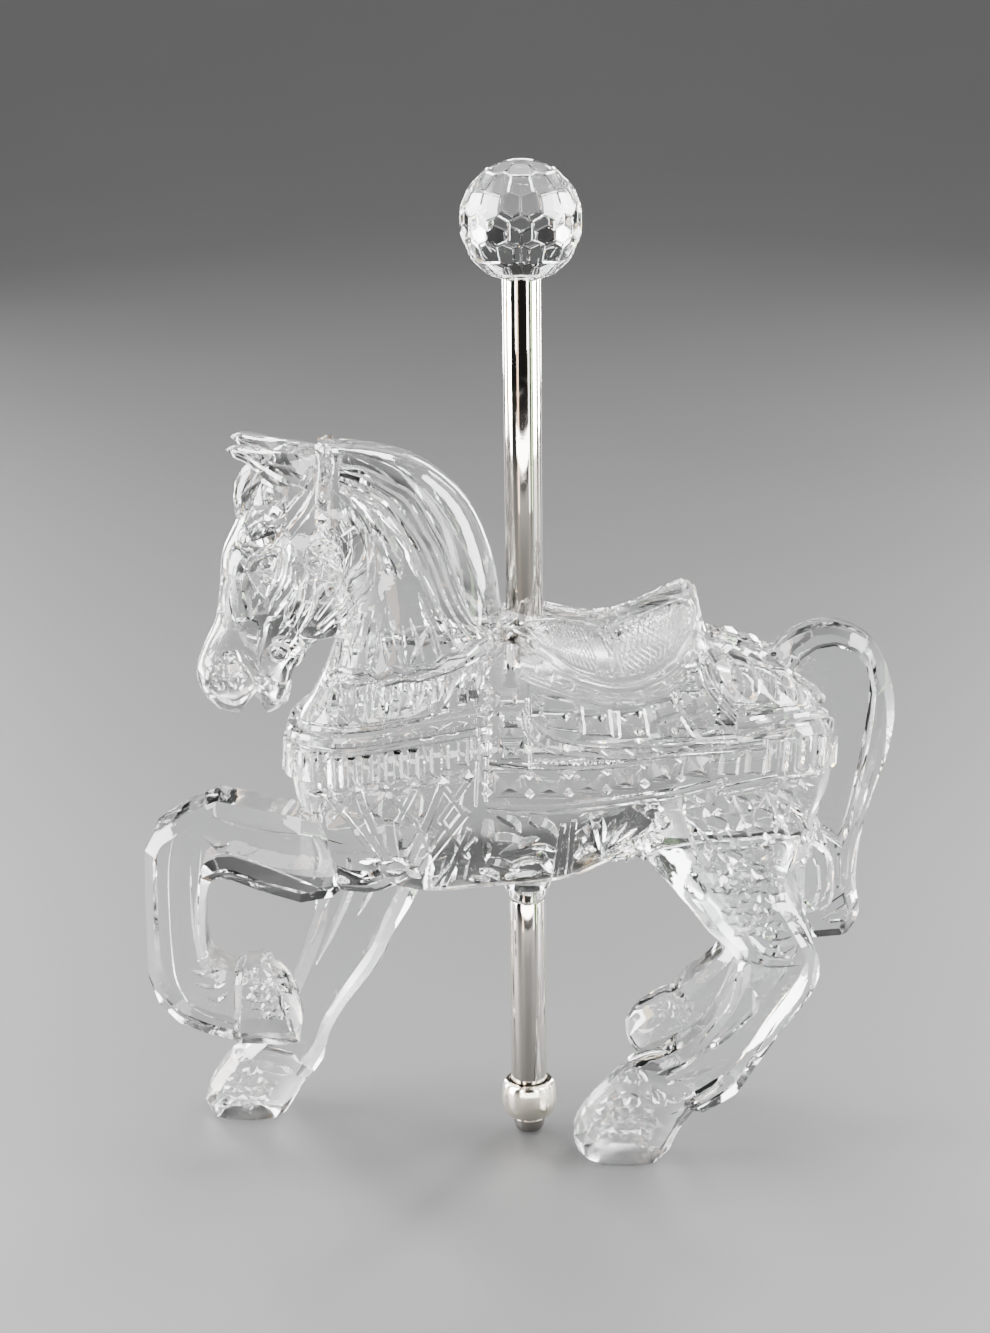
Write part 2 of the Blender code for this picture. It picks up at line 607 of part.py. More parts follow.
def combine(obj, forms, name, operation):
    """Give an object a Boolean with closed forms that may overlap, each a guide of its own in one collection.

    The manifold solver is used because the exact one leaves open edges where so many low carvings overlap.
    """
    guides = bpy.data.collections.new(name)
    bpy.context.scene.collection.children.link(guides)
    for number, bm in enumerate(forms):
        guide = joined([bm], f"{name}_{number}", guide=True)
        bpy.context.collection.objects.unlink(guide)
        guides.objects.link(guide)
    modifier = obj.modifiers.new(name, "BOOLEAN")
    modifier.operation = operation
    modifier.solver = "MANIFOLD"
    modifier.operand_type = "COLLECTION"
    modifier.collection = guides


def principled(name, colour, roughness, metallic, transmission=0.0):
    """Return a material with plain values."""
    material = bpy.data.materials.new(name)
    material.use_nodes = True
    shader = material.node_tree.nodes["Principled BSDF"]
    shader.inputs["Base Color"].default_value = colour
    shader.inputs["Roughness"].default_value = roughness
    shader.inputs["Metallic"].default_value = metallic
    shader.inputs["Transmission Weight"].default_value = transmission
    return material


def build_horse(material):
    """Build the moulded horse: its plain forms, the carving on them, the bores and the flat soles."""
    body_section = rounded_section(TRUNK_SIDES, 2.3)
    slim_section = rounded_section(NECK_SIDES, 2.2)
    slab = chamfered_section(LEG_CHAMFER)
    hoof_section = rounded_section(HOOF_SIDES, 2.8)
    trunk = loft(TRUNK, body_section)
    plain = [
        loft(NECK, slim_section),
        loft(HEAD, slim_section),
        loft(TAIL, chamfered_section(TAIL_CHAMFER)),
    ]
    for leg, hoof in (
        (NEAR_FORELEG, NEAR_FORE_HOOF),
        (FAR_FORELEG, FAR_FORE_HOOF),
        (NEAR_HIND_LEG, NEAR_HIND_HOOF),
        (FAR_HIND_LEG, FAR_HIND_HOOF),
    ):
        plain.append(loft(leg, slab, 1))
        plain.append(loft(hoof, hoof_section, 1))
    skin = Skin([trunk, *plain])
    carving = [
        saddle_loft(SADDLE_SEAT),
        saddle_loft(SADDLE_SKIRT),
        forelock(),
        boss_forms(),
    ]
    for side in (LEFT, RIGHT):
        carving += mane(skin, side) + bridle(skin, side) + face(skin, side)
        carving += breastplate(skin, side) + harness(skin, side) + rump_cloth(skin, side)
        carving.append(swept(skin, BREAST_ROLL, side, ROLL, 1.25, 1.1, rings=11))
    horse = joined([trunk], "horse")
    horse.data.materials.append(material)
    combine(horse, plain + carving, "horse_forms", "UNION")
    bore = ROD_DIAMETER / 2.0 + FIT_GAP
    back = SADDLE_TOP_AT_ROD * SHARE
    socket = SPIGOT_DIAMETER / 2.0 + FIT_GAP
    rim = BOSS_RIM_HEIGHT * SHARE
    bores = [
        turned(((bore, back - BACK_BORE_DEPTH), (bore, back + BACK_BORE_DEPTH))),
        turned(((socket, rim - BOSS_LENGTH), (socket, rim + SPIGOT_LENGTH + FIT_GAP))),
    ]
    floor = bmesh.new()
    bmesh.ops.create_cube(floor, size=2.0 * HORSE_HEIGHT)
    bmesh.ops.translate(floor, verts=floor.verts, vec=(0.0, 0.0, -HORSE_HEIGHT))
    combine(horse, [*bores, *mouth_cuts(), floor], "horse_cuts", "DIFFERENCE")


def build_rods(material):
    """Build the upper rod, from the horse's back into the ball, and the lower one, from the bead to the boss."""
    radius = ROD_DIAMETER / 2.0
    low_end = SADDLE_TOP_AT_ROD * SHARE - BACK_BORE_DEPTH + FIT_GAP
    ball_bottom = BALL_CENTRE_HEIGHT - BALL_DIAMETER / 2.0
    high_end = ball_bottom + BALL_SOCKET_DEPTH - FIT_GAP
    upper = joined([turned((
        (radius - ROD_EDGE, low_end), (radius, low_end + ROD_EDGE),
        (radius, high_end - ROD_EDGE), (radius - ROD_EDGE, high_end),
    ))], "pole_upper")
    foot_end = BEAD_HEIGHT - BEAD_SOCKET_DEPTH + FIT_GAP
    shoulder = BOSS_RIM_HEIGHT * SHARE - FIT_GAP
    spigot = SPIGOT_DIAMETER / 2.0
    lower = joined([turned((
        (radius - ROD_EDGE, foot_end), (radius, foot_end + ROD_EDGE), (radius, shoulder),
        (spigot, shoulder), (spigot, shoulder + SPIGOT_LENGTH),
    ))], "pole_lower")
    for rod in (upper, lower):
        rod.data.materials.append(material)
        rod.data.shade_smooth()
        rod.data.set_sharp_from_angle(angle=math.radians(30.0))


def build_ball(material):
    """Build the clear ball: flat facets in staggered rows, a small flat on top and the socket below."""
    radius = BALL_DIAMETER / 2.0
    pitch = 22.5
    rows = ((0.0, 16), (pitch, 16), (2.0 * pitch, 12), (3.0 * pitch, 6))
    bm = bmesh.new()
    bmesh.ops.create_icosphere(bm, subdivisions=3, radius=radius * 1.2)
    facets = [Vector((0.0, 0.0, 1.0)), Vector((0.0, 0.0, -1.0))]
    for row, (latitude, count) in enumerate(rows):
        for sign in (1.0, -1.0) if latitude else (1.0,):
            for i in range(count):
                turn = 2.0 * math.pi * (i + 0.5 * (row % 2)) / count
                rise = math.radians(latitude) * sign
                facets.append(Vector((math.cos(rise) * math.cos(turn), math.cos(rise) * math.sin(turn), math.sin(rise))))
    inner = radius * math.cos(math.radians(pitch / 4.0))
    for facet in facets:
        every = bm.verts[:] + bm.edges[:] + bm.faces[:]
        cut = bmesh.ops.bisect_plane(bm, geom=every, plane_co=facet * inner, plane_no=facet, clear_outer=True)
        edges = [e for e in cut["geom_cut"] if isinstance(e, bmesh.types.BMEdge)]
        bmesh.ops.edgenet_fill(bm, edges=edges)
    bmesh.ops.recalc_face_normals(bm, faces=bm.faces)
    bmesh.ops.translate(bm, verts=bm.verts, vec=(0.0, 0.0, BALL_CENTRE_HEIGHT))
    ball = joined([bm], "ball_finial")
    ball.data.materials.append(material)
    bore = ROD_DIAMETER / 2.0 + FIT_GAP
    bottom = BALL_CENTRE_HEIGHT - radius
    socket = turned(((bore, bottom - radius), (bore, bottom + BALL_SOCKET_DEPTH)))
    cut_with(ball, joined([socket], "ball_socket", guide=True))


def build_bead(material):
    """Build the turned end bead: a domed foot with a small flat, a groove, the bead and the socket on top."""
    widest = BEAD_DIAMETER / 2.0
    foot = FOOT_DIAMETER / 2.0
    neck_height = BEAD_HEIGHT * 0.29
    dome_radius = BEAD_DIAMETER * 0.29
    profile = [(foot, 0.0)]
    dome_steps = 4
    for i in range(1, dome_steps + 1):
        angle = 0.5 * math.pi * i / dome_steps
        profile.append((
            foot + (dome_radius - foot) * math.sin(angle), neck_height * 0.85 * (1.0 - math.cos(angle)),
        ))
    profile.append((dome_radius * 0.9, neck_height))
    middle = (neck_height + BEAD_HEIGHT) / 2.0
    half = (BEAD_HEIGHT - neck_height) / 2.0
    bore = ROD_DIAMETER / 2.0 + FIT_GAP
    bead_steps = 8
    lip = 0.45 * MM
    for i in range(bead_steps + 1):
        angle = math.pi * (i / bead_steps - 0.5)
        low = dome_radius if angle < 0.0 else bore + lip
        profile.append((low + (widest - low) * math.cos(angle) ** 0.8, middle + half * math.sin(angle)))
    bead = joined([turned(profile)], "end_bead")
    bead.data.materials.append(material)
    socket = turned(((bore, BEAD_HEIGHT - BEAD_SOCKET_DEPTH), (bore, BEAD_HEIGHT * 2.0)))
    cut_with(bead, joined([socket], "bead_socket", guide=True))
    bead.data.shade_smooth()
    bead.data.set_sharp_from_angle(angle=math.radians(30.0))


def main():
    for obj in list(bpy.data.objects):
        bpy.data.objects.remove(obj)
    acrylic = principled("clear_acrylic", ACRYLIC, 0.03, 0.0, 1.0)
    chrome = principled("chrome", CHROME, 0.08, 1.0)
    nickel = principled("pale_nickel", PALE_NICKEL, 0.14, 1.0)
    build_horse(acrylic)
    build_rods(chrome)
    build_ball(acrylic)
    build_bead(nickel)


main()
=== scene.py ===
"""Clear acrylic carousel horse on a chrome rod, with its cut ball and turned bead, dressed around its solids.

The head points to -X, the left side faces -Y, the floor is z = 0 and the rod's axis is x = y = 0.
Places and sizes on the horse are hundredths of its height until the finished moulding is scaled to metres.
"""

import json
import logging
import math
from collections.abc import Callable, Sequence
from dataclasses import dataclass, replace
from enum import Enum

import bmesh
import bpy
from mathutils import Matrix, Vector
from mathutils.bvhtree import BVHTree

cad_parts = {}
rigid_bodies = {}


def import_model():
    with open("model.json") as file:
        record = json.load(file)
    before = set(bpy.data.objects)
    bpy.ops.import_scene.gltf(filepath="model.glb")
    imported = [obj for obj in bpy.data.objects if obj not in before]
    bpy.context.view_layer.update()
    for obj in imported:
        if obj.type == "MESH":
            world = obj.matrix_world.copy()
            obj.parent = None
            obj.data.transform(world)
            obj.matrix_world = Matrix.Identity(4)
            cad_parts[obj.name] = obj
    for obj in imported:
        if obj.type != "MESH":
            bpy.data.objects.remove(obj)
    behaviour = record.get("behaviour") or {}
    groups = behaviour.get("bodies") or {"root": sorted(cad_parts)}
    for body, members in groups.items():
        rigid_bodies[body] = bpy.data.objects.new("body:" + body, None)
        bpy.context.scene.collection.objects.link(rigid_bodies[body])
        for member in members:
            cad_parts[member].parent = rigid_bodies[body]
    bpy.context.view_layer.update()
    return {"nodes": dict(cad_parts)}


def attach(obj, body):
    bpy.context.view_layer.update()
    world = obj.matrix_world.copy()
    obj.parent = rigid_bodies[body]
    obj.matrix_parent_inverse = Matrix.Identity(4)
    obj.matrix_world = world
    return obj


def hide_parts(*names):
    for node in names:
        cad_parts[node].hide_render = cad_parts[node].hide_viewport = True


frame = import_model()

log = logging.getLogger("carousel_horse")

Point = tuple[float, ...]
Path = Sequence[Point]
Rings = list[list[Vector]]
Form = bmesh.types.BMesh
Piece = bpy.types.Object
Socket = bpy.types.NodeSocket
Tree = bpy.types.NodeTree

MM = 0.001
SHARE = 1.65 * MM
BODY = "root"
LEFT = -1.0
RIGHT = 1.0
FULL_TURN = 2.0 * math.pi
SAME_SPOT = MM / 1000.0
ARC_PER_DEGREE = 0.17
LEAST_CREST = 0.3
NARROWEST = 0.03


class Section(Enum):
    """Cross sections of carved lines, as pairs of wide and high, the edges below the skin first and last."""

    ROOF = ((-1.1, -1.0), (-1.0, 0.0), (0.0, 1.0), (1.0, 0.0), (1.1, -1.0))
    LOCK = ((-1.0, -1.0), (-1.0, 0.3), (0.0, 1.0), (1.0, 0.3), (1.0, -1.0))
    ROLL = (
        (-1.0, -1.0), (-0.97, 0.1), (-0.75, 0.7), (-0.3, 0.97), (0.3, 0.97), (0.75, 0.7), (0.97, 0.1),
        (1.0, -1.0),
    )
    STRAP = ((-1.0, -1.0), (-0.9, 0.85), (-0.7, 1.0), (0.7, 1.0), (0.9, 0.85), (1.0, -1.0))
    PIPED = (
        (-1.0, -1.0), (-0.95, 0.8), (-0.75, 1.0), (-0.55, 0.5), (0.55, 0.5), (0.75, 1.0), (0.95, 0.8),
        (1.0, -1.0),
    )
    GROOVE = ((-1.0, 1.0), (0.0, -1.0), (1.0, 1.0))


def curve_at(points: Path, place: float) -> Point:
    """Find a place on a smooth curve.

    Args:
        points: The points that the curve goes through.
        place: How far along the curve, from 0 to 1.

    Returns:
        The point at that place.
    """
    spans = len(points) - 1
    span = min(int(place * spans), spans - 1)
    t = place * spans - span
    before = points[max(span - 1, 0)]
    start, end = points[span], points[span + 1]
    after = points[min(span + 2, spans)]
    return tuple(
        0.5 * (
            2.0 * s + (e - b) * t
            + (2.0 * b - 5.0 * s + 4.0 * e - a) * t * t
            + (3.0 * s - b - 3.0 * e + a) * t**3
        )
        for b, s, e, a in zip(before, start, end, after)
    )


def even(_place: float) -> float:
    """Keep the same width all along a line."""
    return 1.0


def leaf(place: float) -> float:
    """Widen a line like a leaf with a round base and a pointed tip."""
    return 0.1 + 0.9 * math.sin(math.pi * min(1.0, place * 0.85 + 0.15)) ** 0.8


def spindle(place: float) -> float:
    """Widen a line in its middle and bring both ends to a point."""
    return 0.12 + 0.88 * math.sin(math.pi * place)


def halfway(start: Point, end: Point, lift: float) -> Point:
    """Return the place between two places, moved up by a lift."""
    return ((start[0] + end[0]) / 2.0, (start[1] + end[1]) / 2.0 + lift)


def rough_corners(middle: Point, reach: Point, turn: float, bearings: Sequence[float]) -> Path:
    """Return the uneven corners of a small facet.

    Args:
        middle: Its middle.
        reach: How far its corners lie along and up.
        turn: How far it is turned, in radians.
        bearings: The bearings of its corners before the turn.

    Returns:
        The corners in order.
    """
    (x, z), (along, up) = middle, reach
    return [(x + along * math.cos(turn + a), z + up * math.sin(turn + a)) for a in bearings]


@dataclass(frozen=True)
class Stroke:
    """One carved line.

    Attributes:
        path: The places that it passes, all seen from the eye or all with a bearing.
        section: The cross section. A groove is cut and every other section is raised.
        half_width: Half its width.
        rise: How far its crest stands out.
        taper: Its width and height as a share, for a place from 0 to 1.
        pace: How far apart its rings are.
        sink: How far its edges reach into the body.
    """

    path: Path
    section: Section
    half_width: float
    rise: float
    taper: Callable[[float], float] = even
    pace: float = 1.0
    sink: float = 1.0

    def lifted(self, lift: float) -> Path:
        """Return the path moved up by a lift."""
        return [(x, z + lift, *bearing) for x, z, *bearing in self.path]


@dataclass(frozen=True)
class Blades:
    """A set of short carved lines of one kind.

    Attributes:
        rows: For each line, x and z of its base, x and z of its tip, and half its width.
        section: The cross section.
        rise: How far the crests stand out.
        taper: The width and height as a share, for a place from 0 to 1.
        pace: How far apart the rings are.
        bow: How far the middles are moved along and up; straight lines have none.
        sway: The step of the wave that turns the bow to and fro from line to line; with 0 all bow alike.
    """

    rows: Path
    section: Section
    rise: float
    taper: Callable[[float], float] = even
    pace: float = 1.0
    bow: Point = ()
    sway: float = 0.0

    def strokes(self) -> list[Stroke]:
        """Return the lines one by one."""
        lines = []
        for i, (x, z, tip_x, tip_z, half_width) in enumerate(self.rows):
            path = [(x, z), (tip_x, tip_z)]
            if self.bow:
                bend = self.bow[0] * (math.sin(self.sway * i) if self.sway else 1.0)
                path.insert(1, ((x + tip_x) / 2.0 + bend, (z + tip_z) / 2.0 + self.bow[1]))
            lines.append(Stroke(path, self.section, half_width, self.rise, self.taper, self.pace))
        return lines


@dataclass(frozen=True)
class Stud:
    """A raised four-sided stud.

    Attributes:
        half_along: Half its length.
        half_up: Half its height.
        layers: How much each layer is narrower and how far it stands out.
    """

    half_along: float
    half_up: float
    layers: Path

    @classmethod
    def pointed(cls, half_along: float, half_up: float, wall: float, tip: float) -> "Stud":
        """Return a stud with low walls that comes to a point, or to a ridge where it is long."""
        return cls(half_along, half_up, ((0.0, -1.0), (0.0, wall), (min(half_along, half_up), tip)))


@dataclass(frozen=True)
class Boss:
    """A round boss or a round recess.

    Attributes:
        radius: Its radius upwards.
        layers: The share of the radius and the rise of each layer.
        sides: How many sides it has.
        squeeze: Its length as a share of its height.
    """

    radius: float
    layers: Path
    sides: int
    squeeze: float = 1.0


def drawn_out(rings: Rings) -> Form:
    """Draw a capped circle out through rings of points into a closed form.

    Args:
        rings: The rings in order, each with the same number of points.

    Returns:
        The closed form with its faces outwards.
    """
    bm = bmesh.new()
    bmesh.ops.create_circle(bm, cap_ends=True, segments=len(rings[0]), radius=1.0)
    bm.faces.ensure_lookup_table()
    face = bm.faces[0]
    for vert, point in zip(face.verts, rings[0]):
        vert.co = point
    for number, ring in enumerate(rings[1:]):
        grown = bmesh.ops.extrude_face_region(bm, geom=[face])
        if number:
            bmesh.ops.delete(bm, geom=[face], context="FACES_ONLY")
        face = next(part for part in grown["geom"] if isinstance(part, bmesh.types.BMFace))
        for vert, point in zip(face.verts, ring):
            vert.co = point
    bmesh.ops.recalc_face_normals(bm, faces=bm.faces)
    return bm


def rounded_outline(sides: int, power: float) -> list[tuple[float, float]]:
    """Return the unit outline of a rounded section as pairs of deep and wide."""
    outline = []
    for i in range(sides):
        angle = FULL_TURN * (i + 0.5) / sides
        deep, wide = math.cos(angle), math.sin(angle)
        outline.append((
            math.copysign(abs(deep) ** (2.0 / power), deep),
            math.copysign(abs(wide) ** (2.0 / power), wide),
        ))
    return outline


def slab_outline(chamfer: float) -> list[tuple[float, float]]:
    """Return the unit outline of a flat-sided section with its four edges cut off."""
    inner = 1.0 - chamfer
    return [
        (1.0, -inner), (1.0, inner), (inner, 1.0), (-inner, 1.0),
        (-1.0, inner), (-1.0, -inner), (-inner, -1.0), (inner, -1.0),
    ]


def loft(stations: Path, outline: Sequence[tuple[float, float]], steps: int = 4) -> Form:
    """Draw a form through stations that hold back x and z, front x and z, half width and place aside.

    Args:
        stations: The stations in order.
        outline: The unit outline of the section as pairs of deep and wide.
        steps: How many rings each span gets.

    Returns:
        The closed form.
    """
    count = (len(stations) - 1) * steps
    rings = []
    for i in range(count + 1):
        back_x, back_z, front_x, front_z, half_width, aside = curve_at(stations, i / count)
        middle = Vector(((back_x + front_x) / 2.0, aside, (back_z + front_z) / 2.0))
        reach = Vector(((back_x - front_x) / 2.0, 0.0, (back_z - front_z) / 2.0))
        rings.append([
            middle + reach * deep + Vector((0.0, half_width * wide, 0.0)) for deep, wide in outline
        ])
    return drawn_out(rings)


def swelling(centre: Point, radii: Point, lean: float = 0.0) -> Form:
    """Make a soft round swelling.

    Args:
        centre: Its middle.
        radii: Its half length, half thickness and half height.
        lean: Its turn about the sideways axis in degrees.

    Returns:
        The closed form.
    """
    bm = bmesh.new()
    bmesh.ops.create_icosphere(bm, subdivisions=3, radius=1.0)
    bmesh.ops.scale(bm, vec=radii, verts=bm.verts)
    bmesh.ops.rotate(bm, matrix=Matrix.Rotation(math.radians(lean), 3, "Y"), verts=bm.verts)
    bmesh.ops.translate(bm, vec=centre, verts=bm.verts)
    return bm


def spun(profile: Sequence[tuple[float, float]], steps: int, ring: bool = False) -> Form:
    """Turn a profile about the rod's axis into a closed form.

    Args:
        profile: Pairs of radius and height, from one end on the axis side to the other.
        steps: How many steps the full turn has.
        ring: Whether the profile is a loop away from the axis, whose last point joins its first.

    Returns:
        The closed form.
    """
    bm = bmesh.new()
    verts = [bm.verts.new((radius, 0.0, height)) for radius, height in profile]
    pairs = zip(verts, verts[1:] + verts[:1] if ring else verts[1:])
    edges = [bm.edges.new(pair) for pair in pairs]
    bmesh.ops.spin(
        bm, geom=verts + edges, cent=(0.0, 0.0, 0.0), axis=(0.0, 0.0, 1.0), dvec=(0.0, 0.0, 0.0),
        angle=FULL_TURN, space=Matrix.Identity(4), steps=steps, use_merge=True, use_normal_flip=False,
        use_duplicate=False,
    )
    bmesh.ops.remove_doubles(bm, verts=bm.verts, dist=SAME_SPOT)
    bmesh.ops.holes_fill(bm, edges=[e for e in bm.edges if e.is_boundary], sides=0)
    bmesh.ops.recalc_face_normals(bm, faces=bm.faces)
    return bm


def cylinder(radius: float, low: float, high: float, steps: int) -> Form:
    """Return a round bar about the rod's axis from one height to another."""
    return spun(((0.0, low), (radius, low), (radius, high), (0.0, high)), steps)


def bevelled(bm: Form, offset: float, segments: int) -> None:
    """Bevel every edge of a form."""
    bmesh.ops.bevel(
        bm, geom=list(bm.edges), offset=offset, offset_type="OFFSET", segments=segments, profile=0.5,
        affect="EDGES", clamp_overlap=True, material=-1,
    )


def object_of(bm: Form, name: str) -> Piece:
    """Turn a form into an object in the scene and free the form."""
    mesh = bpy.data.meshes.new(name)
    bm.to_mesh(mesh)
    bm.free()
    obj = bpy.data.objects.new(name, mesh)
    bpy.context.scene.collection.objects.link(obj)
    return obj


def settled(obj: Piece) -> Form:
    """Take the form of an object with its modifiers applied, and remove the object."""
    mesh = bpy.data.meshes.new_from_object(obj.evaluated_get(bpy.context.evaluated_depsgraph_get()))
    bm = bmesh.new()
    bm.from_mesh(mesh)
    bpy.data.meshes.remove(mesh)
    bpy.data.objects.remove(obj)
    return bm


def gathered(forms: Sequence[Form]) -> Form:
    """Put copies of several forms into one, without joining them."""
    whole = bmesh.new()
    for bm in forms:
        mesh = bpy.data.meshes.new("form")
        bm.to_mesh(mesh)
        whole.from_mesh(mesh)
        bpy.data.meshes.remove(mesh)
    return whole


def melted(forms: Sequence[Form], grain: float, rounds: int, kept: float) -> Form:
    """Melt overlapping closed forms into one smooth body.

    Args:
        forms: The closed forms.
        grain: The size of the body's mesh.
        rounds: How often it is smoothed.
        kept: The share of its faces that is kept.

    Returns:
        The body as one closed form.
    """
    body = object_of(gathered(forms), "body_melt")
    remesh = body.modifiers.new("melt", "REMESH")
    remesh.mode = "VOXEL"
    remesh.voxel_size = grain
    bm = settled(body)
    for _ in range(rounds):
        bmesh.ops.smooth_vert(
            bm, verts=bm.verts, factor=0.5, use_axis_x=True, use_axis_y=True, use_axis_z=True,
        )
    body = object_of(bm, "body_thin")
    thin = body.modifiers.new("thin", "DECIMATE")
    thin.ratio = kept
    return settled(body)


def keep_largest(bm: Form) -> None:
    """Drop every loose shell but the one of most faces.

    Args:
        bm: The body, changed in place.
    """
    left = set(bm.faces)
    largest: set[bmesh.types.BMFace] = set()
    while left:
        shell = {left.pop()}
        edge_of_shell = list(shell)
        while edge_of_shell:
            face = edge_of_shell.pop()
            for edge in face.edges:
                for other in edge.link_faces:
                    if other not in shell:
                        shell.add(other)
                        edge_of_shell.append(other)
        left -= shell
        if len(shell) > len(largest):
            largest = shell
    loose = [face for face in bm.faces if face not in largest]
    bmesh.ops.delete(bm, geom=loose, context="FACES")


def combined(
    base: Form, forms: Sequence[Form], operation: str,
) -> Form:
    """Join closed forms to a body or cut them out of it.

    Args:
        base: The body.
        forms: The closed forms, which may overlap.
        operation: UNION or DIFFERENCE.

    Returns:
        The new body.
    """
    guides = bpy.data.collections.new("guides")
    bpy.context.scene.collection.children.link(guides)
    for bm in forms:
        guide = object_of(bm, "guide")
        bpy.context.scene.collection.objects.unlink(guide)
        guides.objects.link(guide)
    body = object_of(base, "body_join")
    joint = body.modifiers.new("join", "BOOLEAN")
    joint.operation = operation
    joint.solver = "MANIFOLD"
    joint.operand_type = "COLLECTION"
    joint.collection = guides
    result = settled(body)
    for guide in list(guides.objects):
        bpy.data.objects.remove(guide)
    bpy.data.collections.remove(guides)
    return result


def shaded(obj: Piece, crease: float) -> None:
    """Shade an object smooth, with the edges that turn by more than the crease left sharp."""
    obj.data.shade_smooth()
    obj.data.set_sharp_from_angle(angle=math.radians(crease))


class Skin:
    """The surface that carving lies on."""

    eye = Vector((0.0, 376.9, 193.9))

    def __init__(self, forms: Sequence[Form]) -> None:
        """Keep the surface of the given forms."""
        whole = gathered(forms)
        self.tree = BVHTree.FromBMesh(whole)
        whole.free()

    def point(self, place: Point, side: float) -> Vector:
        """Find the surface point at a place.

        Args:
            place: x and z on the middle plane as seen from the raised eye beside the horse, or x, z and a
                bearing that is seen level, with 0 at the side and 90 at the front of the chest.
            side: LEFT or RIGHT.

        Returns:
            The point on the surface, or the nearest one where the line of sight passes it.
        """
        middle = Vector((place[0], 0.0, place[1]))
        if len(place) == 2:
            start = Vector((self.eye.x, side * self.eye.y, self.eye.z))
        else:
            angle = math.radians(place[2])
            start = middle + Vector((-math.sin(angle), side * math.cos(angle), 0.0)) * 200.0
        hit = self.tree.ray_cast(start, middle - start)[0]
        return hit if hit is not None else self.tree.find_nearest(middle)[0]

    def stance(self, place: Point, side: float) -> tuple[Vector, Vector, Vector]:
        """Find the surface point with its outward direction and its upward direction along the surface.

        Args:
            place: The place, as for a point.
            side: LEFT or RIGHT.

        Returns:
            The point, the outward direction and the upward direction.
        """
        span, chest_radius = 0.8, 10.0
        x, z = place[:2]
        if len(place) == 2:
            fore, aft = (x + span, z), (x - span, z)
            toward = Vector((0.0, side, 0.4))
        else:
            angle = math.radians(place[2])
            turn = math.degrees(span * math.sin(angle) / chest_radius)
            fore = (x + span * math.cos(angle), z, place[2] - turn)
            aft = (x - span * math.cos(angle), z, place[2] + turn)
            toward = Vector((-math.sin(angle), side * math.cos(angle), 0.0))
        rest = place[2:]
        up = (self.point((x, z + span, *rest), side) - self.point((x, z - span, *rest), side)).normalized()
        out = (self.point(fore, side) - self.point(aft, side)).cross(up).normalized()
        if out.dot(toward) < 0.0:
            out.negate()
        return self.point(place, side), out, up


